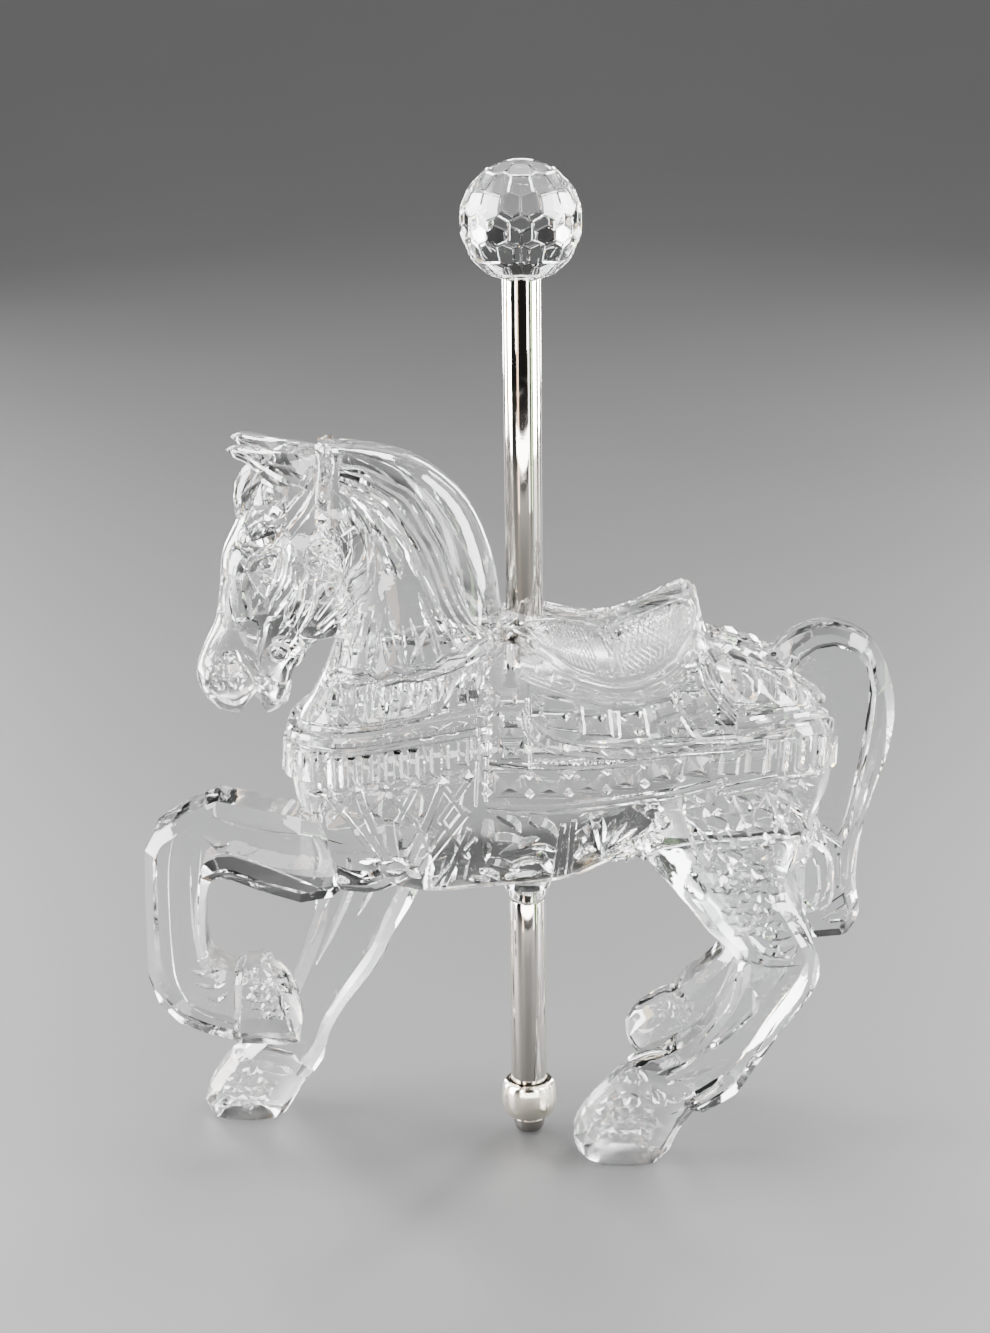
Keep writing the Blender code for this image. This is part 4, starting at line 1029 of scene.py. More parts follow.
@dataclass(frozen=True)
class Face:
    """Ears, forelock, eyes, nostrils, lips and the lines of the cheek."""

    eye: Point = (-33.8, 80.3)
    eye_radius: float = 1.05
    eyeball: Path = ((1.0, -1.6), (1.0, -0.4), (0.9, 0.05), (0.6, 0.4), (0.42, 0.42), (0.36, 0.25))
    nostril_place: Point = (-40.4, 65.4)
    nostril: Boss = Boss(0.75, ((1.05, 0.5), (0.9, -0.2), (0.4, -0.7)), 10, 0.8)
    lids: Path = (
        (-36.0, 81.1), (-35.1, 82.8), (-33.3, 83.9), (-32.1, 83.5), (-32.2, 81.7), (-32.9, 79.4),
        (-34.0, 77.8), (-34.9, 79.0),
    )
    tear: Path = (
        (-36.2, 80.3), (-35.3, 79.0), (-34.6, 77.1), (-35.2, 75.7), (-36.1, 74.2), (-36.5, 76.6),
        (-36.7, 78.7),
    )
    forehead: Path = (
        (-35.1, 90.2), (-30.9, 90.6), (-30.9, 87.5), (-33.1, 86.0), (-36.0, 85.1), (-36.7, 87.4),
    )
    temple: Path = ((-34.0, 93.3), (-32.3, 92.5), (-30.9, 91.4), (-30.8, 90.5), (-34.2, 90.9))
    nose_facet: Path = (
        (-37.9, 73.0), (-36.4, 73.8), (-35.1, 73.3), (-34.9, 72.0), (-35.4, 70.3), (-37.0, 70.9),
    )
    nostril_facet: Path = ((-39.9, 68.4), (-37.9, 68.8), (-37.7, 67.1), (-39.5, 66.5))
    cheek_lines: tuple[Path, ...] = (
        ((-19.7, 79.2), (-22.2, 77.0), (-25.3, 75.1), (-27.3, 73.2)),
        ((-20.6, 77.4), (-23.5, 75.1), (-27.9, 72.4)),
        ((-29.5, 80.5), (-29.7, 77.5), (-31.0, 74.7), (-32.7, 72.4)),
        ((-27.0, 78.3), (-27.6, 75.8), (-29.4, 72.9)),
        ((-30.5, 82.5), (-30.9, 80.2), (-32.5, 78.0), (-33.7, 75.7)),
        ((-30.0, 81.5), (-30.3, 78.8), (-31.9, 76.6), (-33.3, 74.5)),
        ((-38.7, 81.5), (-39.4, 78.5), (-39.7, 75.3), (-39.3, 72.5)),
        ((-37.9, 82.1), (-38.5, 78.9), (-38.3, 75.7), (-38.0, 73.9)),
        ((-30.5, 85.1), (-29.9, 83.8), (-30.4, 82.5)), ((-30.1, 72.9), (-29.3, 70.6), (-30.3, 68.3)),
        ((-34.4, 72.9), (-33.6, 74.7), (-32.0, 75.2)), ((-39.9, 73.0), (-41.2, 70.7), (-42.3, 69.3)),
        ((-37.3, 79.3), (-37.4, 76.6), (-36.7, 74.3)), ((-33.8, 74.3), (-34.8, 70.6), (-35.3, 68.3)),
    )
    brow: Stroke = Stroke((
        (-36.8, 80.7), (-35.9, 83.1), (-33.4, 84.7), (-31.3, 84.2), (-31.3, 81.6), (-32.1, 78.9),
        (-33.5, 76.8),
    ), Section.ROOF, 0.32, 0.6, spindle, 0.9)
    brow_studs: Path = ((-34.6, 89.0), (-33.1, 88.3), (-32.0, 89.4), (-34.0, 87.0), (-32.2, 87.6))
    brow_stud: Stud = Stud.pointed(0.7, 0.55, 0.7, 1.3)
    muzzle_lines: tuple[Stroke, ...] = (
        Stroke(
            ((-41.5, 66.2), (-41.2, 67.0), (-39.9, 66.5), (-39.1, 65.3), (-39.6, 64.2)), Section.ROLL, 0.3,
            0.5, spindle, 0.8,
        ),
        Stroke(((-37.7, 68.9), (-36.7, 67.4), (-35.9, 65.5)), Section.ROLL, 0.32, 0.5, spindle, 0.8),
        Stroke(
            ((-42.2, 65.6), (-40.5, 63.7), (-38.4, 63.0), (-36.6, 64.3)), Section.ROOF, 0.4, 0.45, spindle,
            0.9,
        ),
        Stroke(
            ((-34.9, 65.0), (-33.6, 63.4), (-32.0, 63.3), (-31.2, 65.5)), Section.ROOF, 0.4, 0.45, spindle,
            0.9,
        ),
    )
    hair_from: Path = ((-34.9, 96.4), (-30.7, 94.1), (-27.8, 93.2))
    hair_to: Path = ((-30.2, 97.7), (-28.5, 96.8), (-27.2, 95.9))
    hairs: int = 6

    def ear(self, side: float) -> list[Form]:
        """Return an ear."""
        stations = (
            (-26.1, 97.7, -27.8, 90.8, 1.2, side * 2.6),
            (-29.5, 98.1, -30.6, 92.6, 1.8, side * 3.1),
            (-32.5, 98.6, -33.6, 94.9, 1.9, side * 3.3),
            (-34.9, 99.1, -35.6, 96.9, 1.7, side * 3.4),
            (-36.7, 99.3, -37.0, 97.5, 1.2, side * 3.4),
            (-38.0, 98.7, -37.7, 98.2, 0.4, side * 3.4),
        )
        return [loft(stations, rounded_outline(12, 1.7), 3)]

    def hollow(self, side: float) -> Form:
        """Return the cutter of an ear's hollow."""
        stations = (
            (-27.2, 95.5, -28.0, 92.2, 0.6, side * 5.0),
            (-30.0, 96.8, -30.5, 93.9, 1.2, side * 5.3),
            (-32.5, 97.8, -33.1, 95.9, 1.0, side * 5.5),
            (-34.6, 98.5, -35.0, 97.5, 0.4, side * 5.4),
        )
        return loft(stations, rounded_outline(8, 2.0), 2)

    def forelock(self) -> list[Form]:
        """Return the tuft over the forehead."""
        tufts = []
        for aside, droop in ((0.0, 0.0), (-1.5, 0.7), (1.5, 0.7)):
            tufts.append(loft((
                (-30.6, 97.6 - droop, -31.4, 93.4, 1.4, aside * 0.6),
                (-35.0, 96.6 - droop, -34.4, 92.0, 1.5, aside),
                (-37.4, 93.6 - droop, -36.0, 90.4, 1.2, aside),
                (-37.4, 90.0 - droop, -36.4, 88.8 - droop, 0.4, aside),
            ), rounded_outline(10, 1.6), 3))
        return tufts

    def carve(self, carver: Carver) -> None:
        """Carve one side of the face.

        Args:
            carver: The carver of that side.
        """
        carver.window(self.lids, depth=0.7, floor=0.72)
        carver.window(self.tear, depth=0.7, floor=0.6)
        carver.boss(self.eye, Boss(self.eye_radius, self.eyeball, 14, 0.9), carver.set_in)
        rim = (*self.lids, self.lids[0])
        carver.draw(Stroke(rim, Section.ROLL, 0.24, 0.55, pace=0.8), self.brow)
        carver.facet(self.forehead, rise=0.3, top=0.75, crown=0.5)
        carver.window(self.temple, depth=0.7, floor=0.75)
        carver.window(self.nose_facet, depth=0.7, floor=0.7)
        carver.window(self.nostril_facet, depth=0.6, floor=0.7)
        for i, path in enumerate(self.cheek_lines[:4] if carver.plain else self.cheek_lines):
            carver.draw(Stroke(path, Section.ROOF, 0.42 - 0.1 * (i % 2), 0.6, spindle))
        for place in self.brow_studs:
            carver.stud(place, self.brow_stud, 30.0)
        carver.boss(self.nostril_place, self.nostril, carver.cuts)
        carver.draw(*self.muzzle_lines)
        for i in range(self.hairs):
            place = i / (self.hairs - 1)
            ends = (curve_at(self.hair_from, place), curve_at(self.hair_to, place))
            carver.draw(Stroke(ends, Section.ROOF, 0.3, 0.4, spindle, 1.2))


@dataclass(frozen=True)
class Breastplate:
    """The breast roll, the row of long cut gems, the scallops and the lattice of ribbons with its knot."""

    roll: Stroke = Stroke((
        (-5.0, 64.0, 0.0), (-14.0, 62.4, 0.0), (-22.5, 60.9, 0.0), (-24.0, 60.5, 32.0), (-24.0, 60.1, 62.0),
        (-24.0, 59.9, 90.0),
    ), Section.ROLL, 1.15, 1.2, pace=1.2, sink=1.6)
    pipings: Path = ((-1.75, 0.32), (1.7, 0.26))
    gems: Path = ((-6.7, 56.3), (-12.5, 54.9), (-18.1, 54.0), (-23.7, 53.2), (-27.8, 53.0))
    gem_count: int = 12
    front_gems: int = 5
    gem: Stud = Stud(0.66, 1.65, ((0.0, -1.2), (0.0, 0.5), (0.3, 1.05), (0.44, 1.1)))
    scallops: Path = (
        (-29.6, 50.5), (-26.4, 50.0), (-22.7, 50.8), (-18.8, 50.9), (-15.0, 51.5), (-11.3, 51.7),
        (-7.7, 52.5),
    )
    scallop_stud: Stud = Stud.pointed(0.7, 0.7, 0.5, 1.3)
    ribbons: Blades = Blades((
        (-22.6, 50.6, -18.9, 40.6, 0.62), (-11.2, 51.2, -15.8, 40.3, 0.62), (-7.9, 47.6, -14.7, 39.0, 0.62),
        (-18.5, 46.3, -18.0, 41.0, 0.72), (-14.9, 50.8, -17.5, 45.9, 0.42),
        (-18.8, 50.6, -15.0, 45.9, 0.42), (-26.4, 49.9, -20.5, 41.0, 0.42),
        (-22.8, 50.4, -26.4, 46.4, 0.36), (-11.3, 51.2, -8.3, 47.0, 0.42), (-7.7, 51.8, -11.8, 45.9, 0.42),
        (-7.7, 44.9, -11.4, 36.8, 0.42), (-11.3, 45.9, -7.9, 40.9, 0.32), (-18.8, 50.3, -22.2, 46.4, 0.36),
        (-15.0, 46.3, -12.8, 40.9, 0.3), (-6.8, 43.5, -12.8, 36.9, 0.3),
    ), Section.STRAP, 0.75, pace=1.6)
    facets: tuple[Path, ...] = (
        ((-21.9, 49.7), (-19.2, 49.8), (-19.5, 46.6), (-20.5, 46.6)),
        ((-17.9, 49.5), (-15.6, 49.9), (-16.9, 47.0)),
        ((-14.1, 50.0), (-11.8, 50.3), (-13.4, 46.6), (-14.5, 46.6)),
        ((-10.5, 49.9), (-8.2, 50.5), (-8.8, 47.6), (-9.9, 47.9)),
        ((-25.7, 48.9), (-23.4, 49.1), (-24.5, 46.7), (-25.8, 47.2)),
        ((-21.5, 45.2), (-19.0, 45.5), (-19.0, 42.2), (-20.0, 42.2)),
        ((-17.2, 45.0), (-14.5, 45.0), (-16.1, 41.8), (-17.4, 41.8)),
        ((-13.4, 44.5), (-11.8, 44.8), (-13.2, 42.0), (-14.4, 42.0)),
        ((-10.8, 44.7), (-8.4, 45.8), (-9.6, 40.9), (-11.4, 41.3)),
        ((-12.8, 40.1), (-10.9, 40.9), (-11.6, 38.2), (-13.3, 37.8)),
        ((-9.9, 40.2), (-7.6, 40.9), (-8.3, 37.5), (-10.4, 37.1)),
        ((-29.0, 49.1), (-26.9, 49.0), (-27.2, 47.0), (-28.8, 47.2)),
    )
    knot_place: Point = (-18.0, 39.5)
    knot: Boss = Boss(1.5, ((1.0, -1.0), (0.95, 0.6), (0.6, 1.1), (0.3, 0.9)), 8, 1.5)
    bows: int = 7

    def carve(self, carver: Carver) -> None:
        """Carve the breastplate on one side.

        Args:
            carver: The carver of that side.
        """
        carver.draw(self.roll)
        for lift, half_width in self.pipings:
            carver.draw(Stroke(self.roll.lifted(lift), Section.ROLL, half_width, 0.5, pace=1.2))
        for i in range(self.gem_count):
            place = i / (self.gem_count - 1)
            half_along = self.gem.half_along + 0.1 * math.sin(2.0 * i)
            carver.stud(
                curve_at(self.gems, place), Stud(half_along, self.gem.half_up + 0.5 * place, self.gem.layers),
            )
        for i in range(self.front_gems):
            carver.stud((-24.0, 57.2 - 0.1 * i, 15.0 + 17.0 * i), Stud(0.78, 2.2, self.gem.layers))
        for start, end in zip(self.scallops, self.scallops[1:]):
            for lift in (0.8, -0.6):
                middle = halfway(start, end, lift)
                carver.draw(Stroke((start, middle, end), Section.ROLL, 0.28, 0.5, spindle, 0.9))
        if carver.plain:
            return
        carver.draw(*self.ribbons.strokes())
        for place in self.scallops[1:]:
            carver.stud(place, self.scallop_stud, 45.0)
        for corners in self.facets:
            carver.facet(corners, rise=0.15, top=0.5, crown=0.6)
        self.tie_knot(carver)

    def tie_knot(self, carver: Carver) -> None:
        """Carve the knot and the bows round it.

        Args:
            carver: The carver of one side.
        """
        x, z = self.knot_place
        carver.boss(self.knot_place, self.knot)
        for i in range(self.bows):
            turn = math.radians(14.0 + 360.0 * i / self.bows)
            reach = 5.0 + 0.9 * math.sin(2.0 * i)
            path = [
                (x + along * math.cos(turn), z + up * math.sin(turn))
                for along, up in ((1.7, 1.2), (reach, 0.6 * reach))
            ]
            carver.draw(Stroke(path, Section.LOCK, 0.85, 0.75, leaf, 1.1))


@dataclass(frozen=True)
class Harness:
    """The girth strap and the belt with their pyramids, the crescent above and the carving hung below."""

    strap_studs: Path = ((-2.5, 63.3), (-2.0, 60.4))
    strap_stud: Stud = Stud(1.4, 1.1, ((0.0, -1.0), (0.0, 0.5), (0.6, 1.2), (0.9, 1.2)))
    strap_pyramid: Point = (-2.0, 56.2)
    pyramids: Path = ((-2.2, 51.3), (3.1, 51.1), (8.3, 51.4), (13.4, 52.0), (18.4, 53.0), (23.0, 53.7))
    pyramid: Path = ((0.0, -1.0), (0.0, 0.35), (0.3, 0.45), (2.1, 1.6))
    between_stud: Stud = Stud.pointed(0.5, 0.45, 0.4, 1.1)
    end_studs: Path = ((27.2, 53.9), (30.7, 54.0))
    end_stud: Stud = Stud(1.3, 1.5, ((0.0, -1.0), (0.0, 0.5), (0.5, 1.1), (0.8, 1.1)))
    pipings: tuple[Path, ...] = (
        ((-4.9, 64.3), (-5.4, 48.9)), ((0.3, 63.3), (0.6, 53.5)), ((-6.2, 60.1), (-6.8, 48.2)),
    )
    piping_studs: int = 9
    piping_stud: Stud = Stud.pointed(0.5, 0.5, 0.4, 1.0)
    upper_edge: Stroke = Stroke(
        ((0.8, 53.5), (6.7, 53.3), (12.9, 53.7), (20.3, 55.0), (26.5, 56.2), (25.9, 55.8), (31.7, 56.8)),
        Section.ROLL, 0.3, 0.6, pace=1.3,
    )
    lower_edge: Stroke = Stroke(
        ((-5.4, 48.3), (1.7, 47.7), (10.4, 48.6), (20.3, 50.1), (26.5, 51.5), (25.9, 50.3), (33.7, 51.8)),
        Section.ROLL, 0.45, 0.85, pace=1.3,
    )
    horn_inner: Stroke = Stroke(
        ((-0.3, 61.9), (0.9, 59.9), (3.2, 58.0), (6.7, 56.9), (12.9, 56.4), (20.3, 56.7), (28.3, 57.0)),
        Section.ROLL, 0.34, 0.75, pace=1.2,
    )
    horn_outer: Stroke = Stroke(
        ((-0.5, 61.6), (0.0, 58.7), (2.1, 56.5), (5.5, 55.4), (12.9, 54.8), (20.3, 55.2), (28.3, 55.7)),
        Section.ROLL, 0.34, 0.75, pace=1.2,
    )
    horn_strokes: int = 12
    grains_along: Path = ((1.5, 54.6), (6.7, 54.2), (12.4, 54.5))
    grains: int = 14
    grain: Stud = Stud.pointed(0.32, 0.32, 0.3, 0.8)
    leaves: Blades = Blades((
        (-5.1, 46.2, -5.5, 40.2, 0.9), (-3.9, 47.0, -0.8, 44.2, 0.9), (-4.5, 43.5, 0.4, 42.7, 0.8),
        (-3.5, 40.8, 1.7, 43.5, 0.8), (-5.5, 40.2, -0.9, 38.4, 0.9), (-2.1, 39.5, 3.5, 40.1, 0.7),
        (0.4, 46.1, 4.2, 43.4, 0.9), (-0.8, 47.2, 2.9, 46.8, 0.6), (1.6, 41.4, 3.6, 38.0, 0.7),
        (-6.5, 38.8, -3.8, 37.4, 0.7), (-2.8, 37.8, 1.6, 38.3, 0.6), (6.6, 43.4, 10.4, 45.4, 0.7),
        (7.3, 46.1, 10.4, 47.0, 0.6), (6.6, 40.7, 10.4, 42.0, 0.6), (10.4, 40.7, 16.0, 40.9, 0.6),
        (0.7, 42.1, 4.1, 41.4, 0.5), (-5.2, 37.5, -7.8, 37.5, 0.5), (7.3, 44.1, 6.9, 40.0, 0.5),
    ), Section.LOCK, 0.9, leaf, 1.1, (0.5, 0.4), 2.3)
    hung_straps: tuple[Path, ...] = (((4.9, 45.4), (3.6, 37.9)), ((6.4, 46.0), (5.5, 38.3)))
    shell: Point = (10.0, 40.7)
    shell_ribs: int = 8
    # x, z and radius
    berries: Path = ((17.0, 47.3, 1.3), (18.2, 45.6, 1.2), (17.4, 43.3, 1.1), (15.4, 48.1, 1.0))
    berry: Path = ((1.0, -1.0), (0.95, 0.4), (0.7, 0.9), (0.3, 0.7))
    folds: tuple[Path, ...] = (
        ((2.2, 64.1), (5.0, 64.3), (6.7, 63.0), (7.2, 58.3), (4.2, 58.7), (1.8, 60.8)),
        ((7.3, 62.4), (11.4, 62.1), (11.8, 57.7), (7.7, 58.0)),
        ((12.1, 62.1), (15.9, 62.5), (16.7, 57.6), (12.4, 57.4)),
        ((16.4, 62.7), (19.4, 64.0), (20.6, 61.1), (17.3, 60.0)),
        ((17.4, 59.6), (20.8, 60.7), (22.8, 57.6), (17.7, 57.5)),
        ((20.0, 64.4), (22.4, 66.3), (24.3, 62.0), (21.2, 60.9)),
        ((21.5, 60.3), (24.6, 61.6), (27.9, 57.9), (23.5, 57.6)),
    )

    def carve(self, carver: Carver) -> None:
        """Carve the harness on one side.

        Args:
            carver: The carver of that side.
        """
        for place in self.strap_studs:
            carver.stud(place, self.strap_stud)
        carver.stud(self.strap_pyramid, Stud(1.8, 1.7, self.pyramid))
        for i, place in enumerate(self.pyramids):
            carver.stud(place, Stud(2.15 - 0.06 * i, 1.9 - 0.06 * i, self.pyramid), 1.8 * i)
        for place in self.end_studs:
            carver.stud(place, self.end_stud, 6.0)
        for start, end in zip(self.pyramids, self.pyramids[1:]):
            for lift in (1.35, -1.35):
                carver.stud(halfway(start, end, lift), self.between_stud, 45.0)
        for ends in self.pipings:
            carver.draw(Stroke(ends, Section.ROLL, 0.28, 0.6, pace=1.3))
        for i in range(self.piping_studs):
            x, z = curve_at(self.pipings[0], i / self.piping_studs)
            carver.stud((x + 0.1, z), self.piping_stud, 45.0)
        under = Stroke(self.lower_edge.lifted(-0.95), Section.ROLL, 0.26, 0.5, pace=1.3)
        carver.draw(self.lower_edge, under, self.upper_edge, self.horn_inner, self.horn_outer)
        if carver.plain:
            return
        for i in range(self.horn_strokes):
            start = curve_at(self.horn_inner.path, i / self.horn_strokes)
            end = curve_at(self.horn_outer.path, (i + 0.6) / self.horn_strokes)
            carver.draw(Stroke((start, end), Section.ROOF, 0.26, 0.5, spindle, 1.2))
        for i in range(self.grains):
            carver.stud(curve_at(self.grains_along, i / (self.grains - 1)), self.grain, 20.0 * i)
        self.hangings(carver)
        for corners in self.folds:
            carver.facet(corners, rise=0.4, top=0.8, crown=0.3)

    def hangings(self, carver: Carver) -> None:
        """Carve the leaves, the straps, the shell and the berries below the belt.

        Args:
            carver: The carver of one side.
        """
        carver.draw(*self.leaves.strokes())
        for ends in self.hung_straps:
            carver.draw(Stroke(ends, Section.STRAP, 0.42, 0.7, pace=1.4))
        x, z = self.shell
        for i in range(self.shell_ribs):
            turn = math.radians(4.0 + 14.0 * i)
            tip = (x + 7.0 * math.cos(turn), z + 5.6 * math.sin(turn))
            carver.draw(Stroke((self.shell, tip), Section.LOCK, 0.72, 1.0, leaf, 1.2))
        for x, z, radius in self.berries:
            carver.boss((x, z), Boss(radius, self.berry, 8, 1.2))


@dataclass(frozen=True)
class Saddle:
    """The saddle: its seat with the caned panel and its row of beads, and the skirt with its piped edge."""

    # x, top, rim height, half width
    seat: Path = (
        (-3.6, 75.2, 73.6, 5.6), (-1.6, 76.2, 73.8, 7.4), (2.6, 75.2, 72.6, 9.2), (6.6, 74.6, 69.8, 10.6),
        (11.6, 74.6, 68.2, 11.6), (16.0, 76.4, 69.0, 11.6), (19.4, 77.9, 71.4, 10.8),
        (21.6, 78.3, 74.4, 9.6), (22.6, 76.6, 74.9, 8.8),
    )
    skirt: Path = (
        (-0.6, 72.4, 69.6, 9.4), (4.0, 72.8, 68.2, 11.2), (11.8, 73.0, 66.2, 12.2),
        (17.0, 73.6, 67.2, 12.0), (21.6, 74.2, 71.2, 10.8), (23.4, 73.2, 72.2, 9.2),
    )
    panel_top: Path = ((-0.1, 74.0), (3.5, 74.2), (7.0, 73.9), (10.5, 73.2), (15.2, 74.7), (20.2, 76.8))
    panel_low: Path = ((1.0, 72.3), (3.6, 69.8), (7.0, 67.2), (12.9, 66.1), (18.4, 68.2), (21.0, 72.1))
    panel_rear: Path = ((22.1, 76.0), (22.3, 73.8))
    divider: tuple[Path, Path] = (
        ((10.3, 73.6), (11.7, 70.0), (13.0, 66.3)), ((11.0, 73.6), (12.3, 70.0), (13.6, 66.3)),
    )
    scallops: Path = (
        (1.2, 69.4), (3.0, 67.6), (5.2, 65.9), (7.8, 64.4), (10.7, 63.6), (13.9, 63.5), (17.1, 64.6),
        (20.0, 66.6), (21.6, 68.5),
    )
    scallop: Boss = Boss(1.5, ((1.0, -0.8), (0.96, 0.08), (0.8, 0.26), (0.5, 0.16)), 10, 1.25)
    rim: Stroke = Stroke(
        ((-0.1, 71.2), (3.0, 68.1), (7.0, 65.6), (13.1, 64.4), (19.0, 66.3), (22.1, 70.2), (23.1, 74.9)),
        Section.ROLL, 0.5, 0.5, sink=0.6,
    )
    bead_pitch: float = 1.12
    bead_ring: Boss = Boss(0.52, ((1.0, -0.4), (1.0, 0.2), (0.8, 0.36)), 8)
    bead_hole: Boss = Boss(0.3, ((1.15, 0.6), (1.0, 0.1), (0.7, -0.4)), 6)
    cane_lean: float = 0.16
    arch_sides: int = 24

    def form(self, stations: Path) -> Form:
        """Draw a form of the saddle that arches over the back between its two rims."""
        count = (len(stations) - 1) * 4
        rings = []
        for i in range(count + 1):
            x, top, rim, half_width = curve_at(stations, i / count)
            ring = [(x, -half_width * 0.6, rim - 1.5), (x, -half_width, rim - 0.5)]
            for j in range(self.arch_sides + 1):
                angle = math.pi * j / self.arch_sides
                ring.append((x, -half_width * math.cos(angle), rim + (top - rim) * math.sin(angle) ** 0.8))
            ring += [(x, half_width, rim - 0.5), (x, half_width * 0.6, rim - 1.5)]
            rings.append([Vector(point) for point in ring])
        return drawn_out(rings)

    def forms(self) -> list[Form]:
        """Return the plain forms of the seat and the skirt."""
        return [self.form(self.seat), self.form(self.skirt)]

    def spot(self, along: float, down: float) -> Point:
        """Return the place on the panel at shares of its length and its depth."""
        top = curve_at(self.panel_top, along)
        low = curve_at(self.panel_low, along)
        return tuple(t + (b - t) * down for t, b in zip(top, low))

    def weave(self, carver: Carver, first: float, last: float, strands: int, half_width: float) -> None:
        """Carve crossed cane over a part of the panel.

        Args:
            carver: The carver of one side.
            first: The share of the panel's length where the weave starts.
            last: The share where it ends.
            strands: How many strands lean each way.
            half_width: Half the width of a strand.
        """
        for i in range(strands):
            along = first + (last - first) * (i + 0.5) / strands
            for way in (self.cane_lean, -self.cane_lean):
                path = [
                    self.spot(min(last, max(first, along - way * (0.5 - down))), down)
                    for down in (0.1, 0.5, 0.9)
                ]
                carver.draw(Stroke(path, Section.ROOF, half_width, 0.2, pace=1.6, sink=0.3))

    def carve(self, carver: Carver) -> None:
        """Carve the cane, the holes and the piping on one side.

        Args:
            carver: The carver of that side, on a skin that has the saddle.
        """
        self.weave(carver, first=0.06, last=0.5, strands=17, half_width=0.1)
        self.weave(carver, first=0.56, last=0.96, strands=14, half_width=0.15)
        for path in self.divider:
            carver.draw(Stroke(path, Section.ROOF, 0.22, 0.35, pace=1.2, sink=0.4))
        edge = [*self.panel_top, *self.panel_rear, *reversed(self.panel_low), self.panel_top[0]]
        carver.draw(Stroke(edge, Section.ROLL, 0.2, 0.3, sink=0.4))
        self.holes(carver)
        carver.draw(self.rim)
        for place in self.scallops:
            carver.boss(place, self.scallop)
        skirt_edge = [(x, z + 0.1, 0.0) for x, _top, z, _width in self.skirt]
        piping = Stroke(skirt_edge, Section.ROLL, 0.4, 0.3, sink=0.6)
        carver.draw(piping, replace(piping, path=piping.lifted(1.0)[1:-1], half_width=0.22))

    def holes(self, carver: Carver) -> None:
        """Carve the row of small ringed holes round the rear half of the panel.

        Args:
            carver: The carver of one side.
        """
        top = [self.spot(along, down) for along, down in ((0.56, 0.04), (0.75, 0.06), (0.94, 0.1))]
        low = [self.spot(along, 0.93) for along in (0.97, 0.86, 0.74, 0.62, 0.5)]
        loop = [*top, (21.2, 75.2), (20.9, 73.4), *low]
        run = sum(math.dist(a, b) for a, b in zip(loop, loop[1:]))
        count = round(run / self.bead_pitch)
        for i in range(count + 1):
            place = curve_at(loop, i / count)
            carver.boss(place, self.bead_ring)
            carver.boss(place, self.bead_hole, carver.cuts)


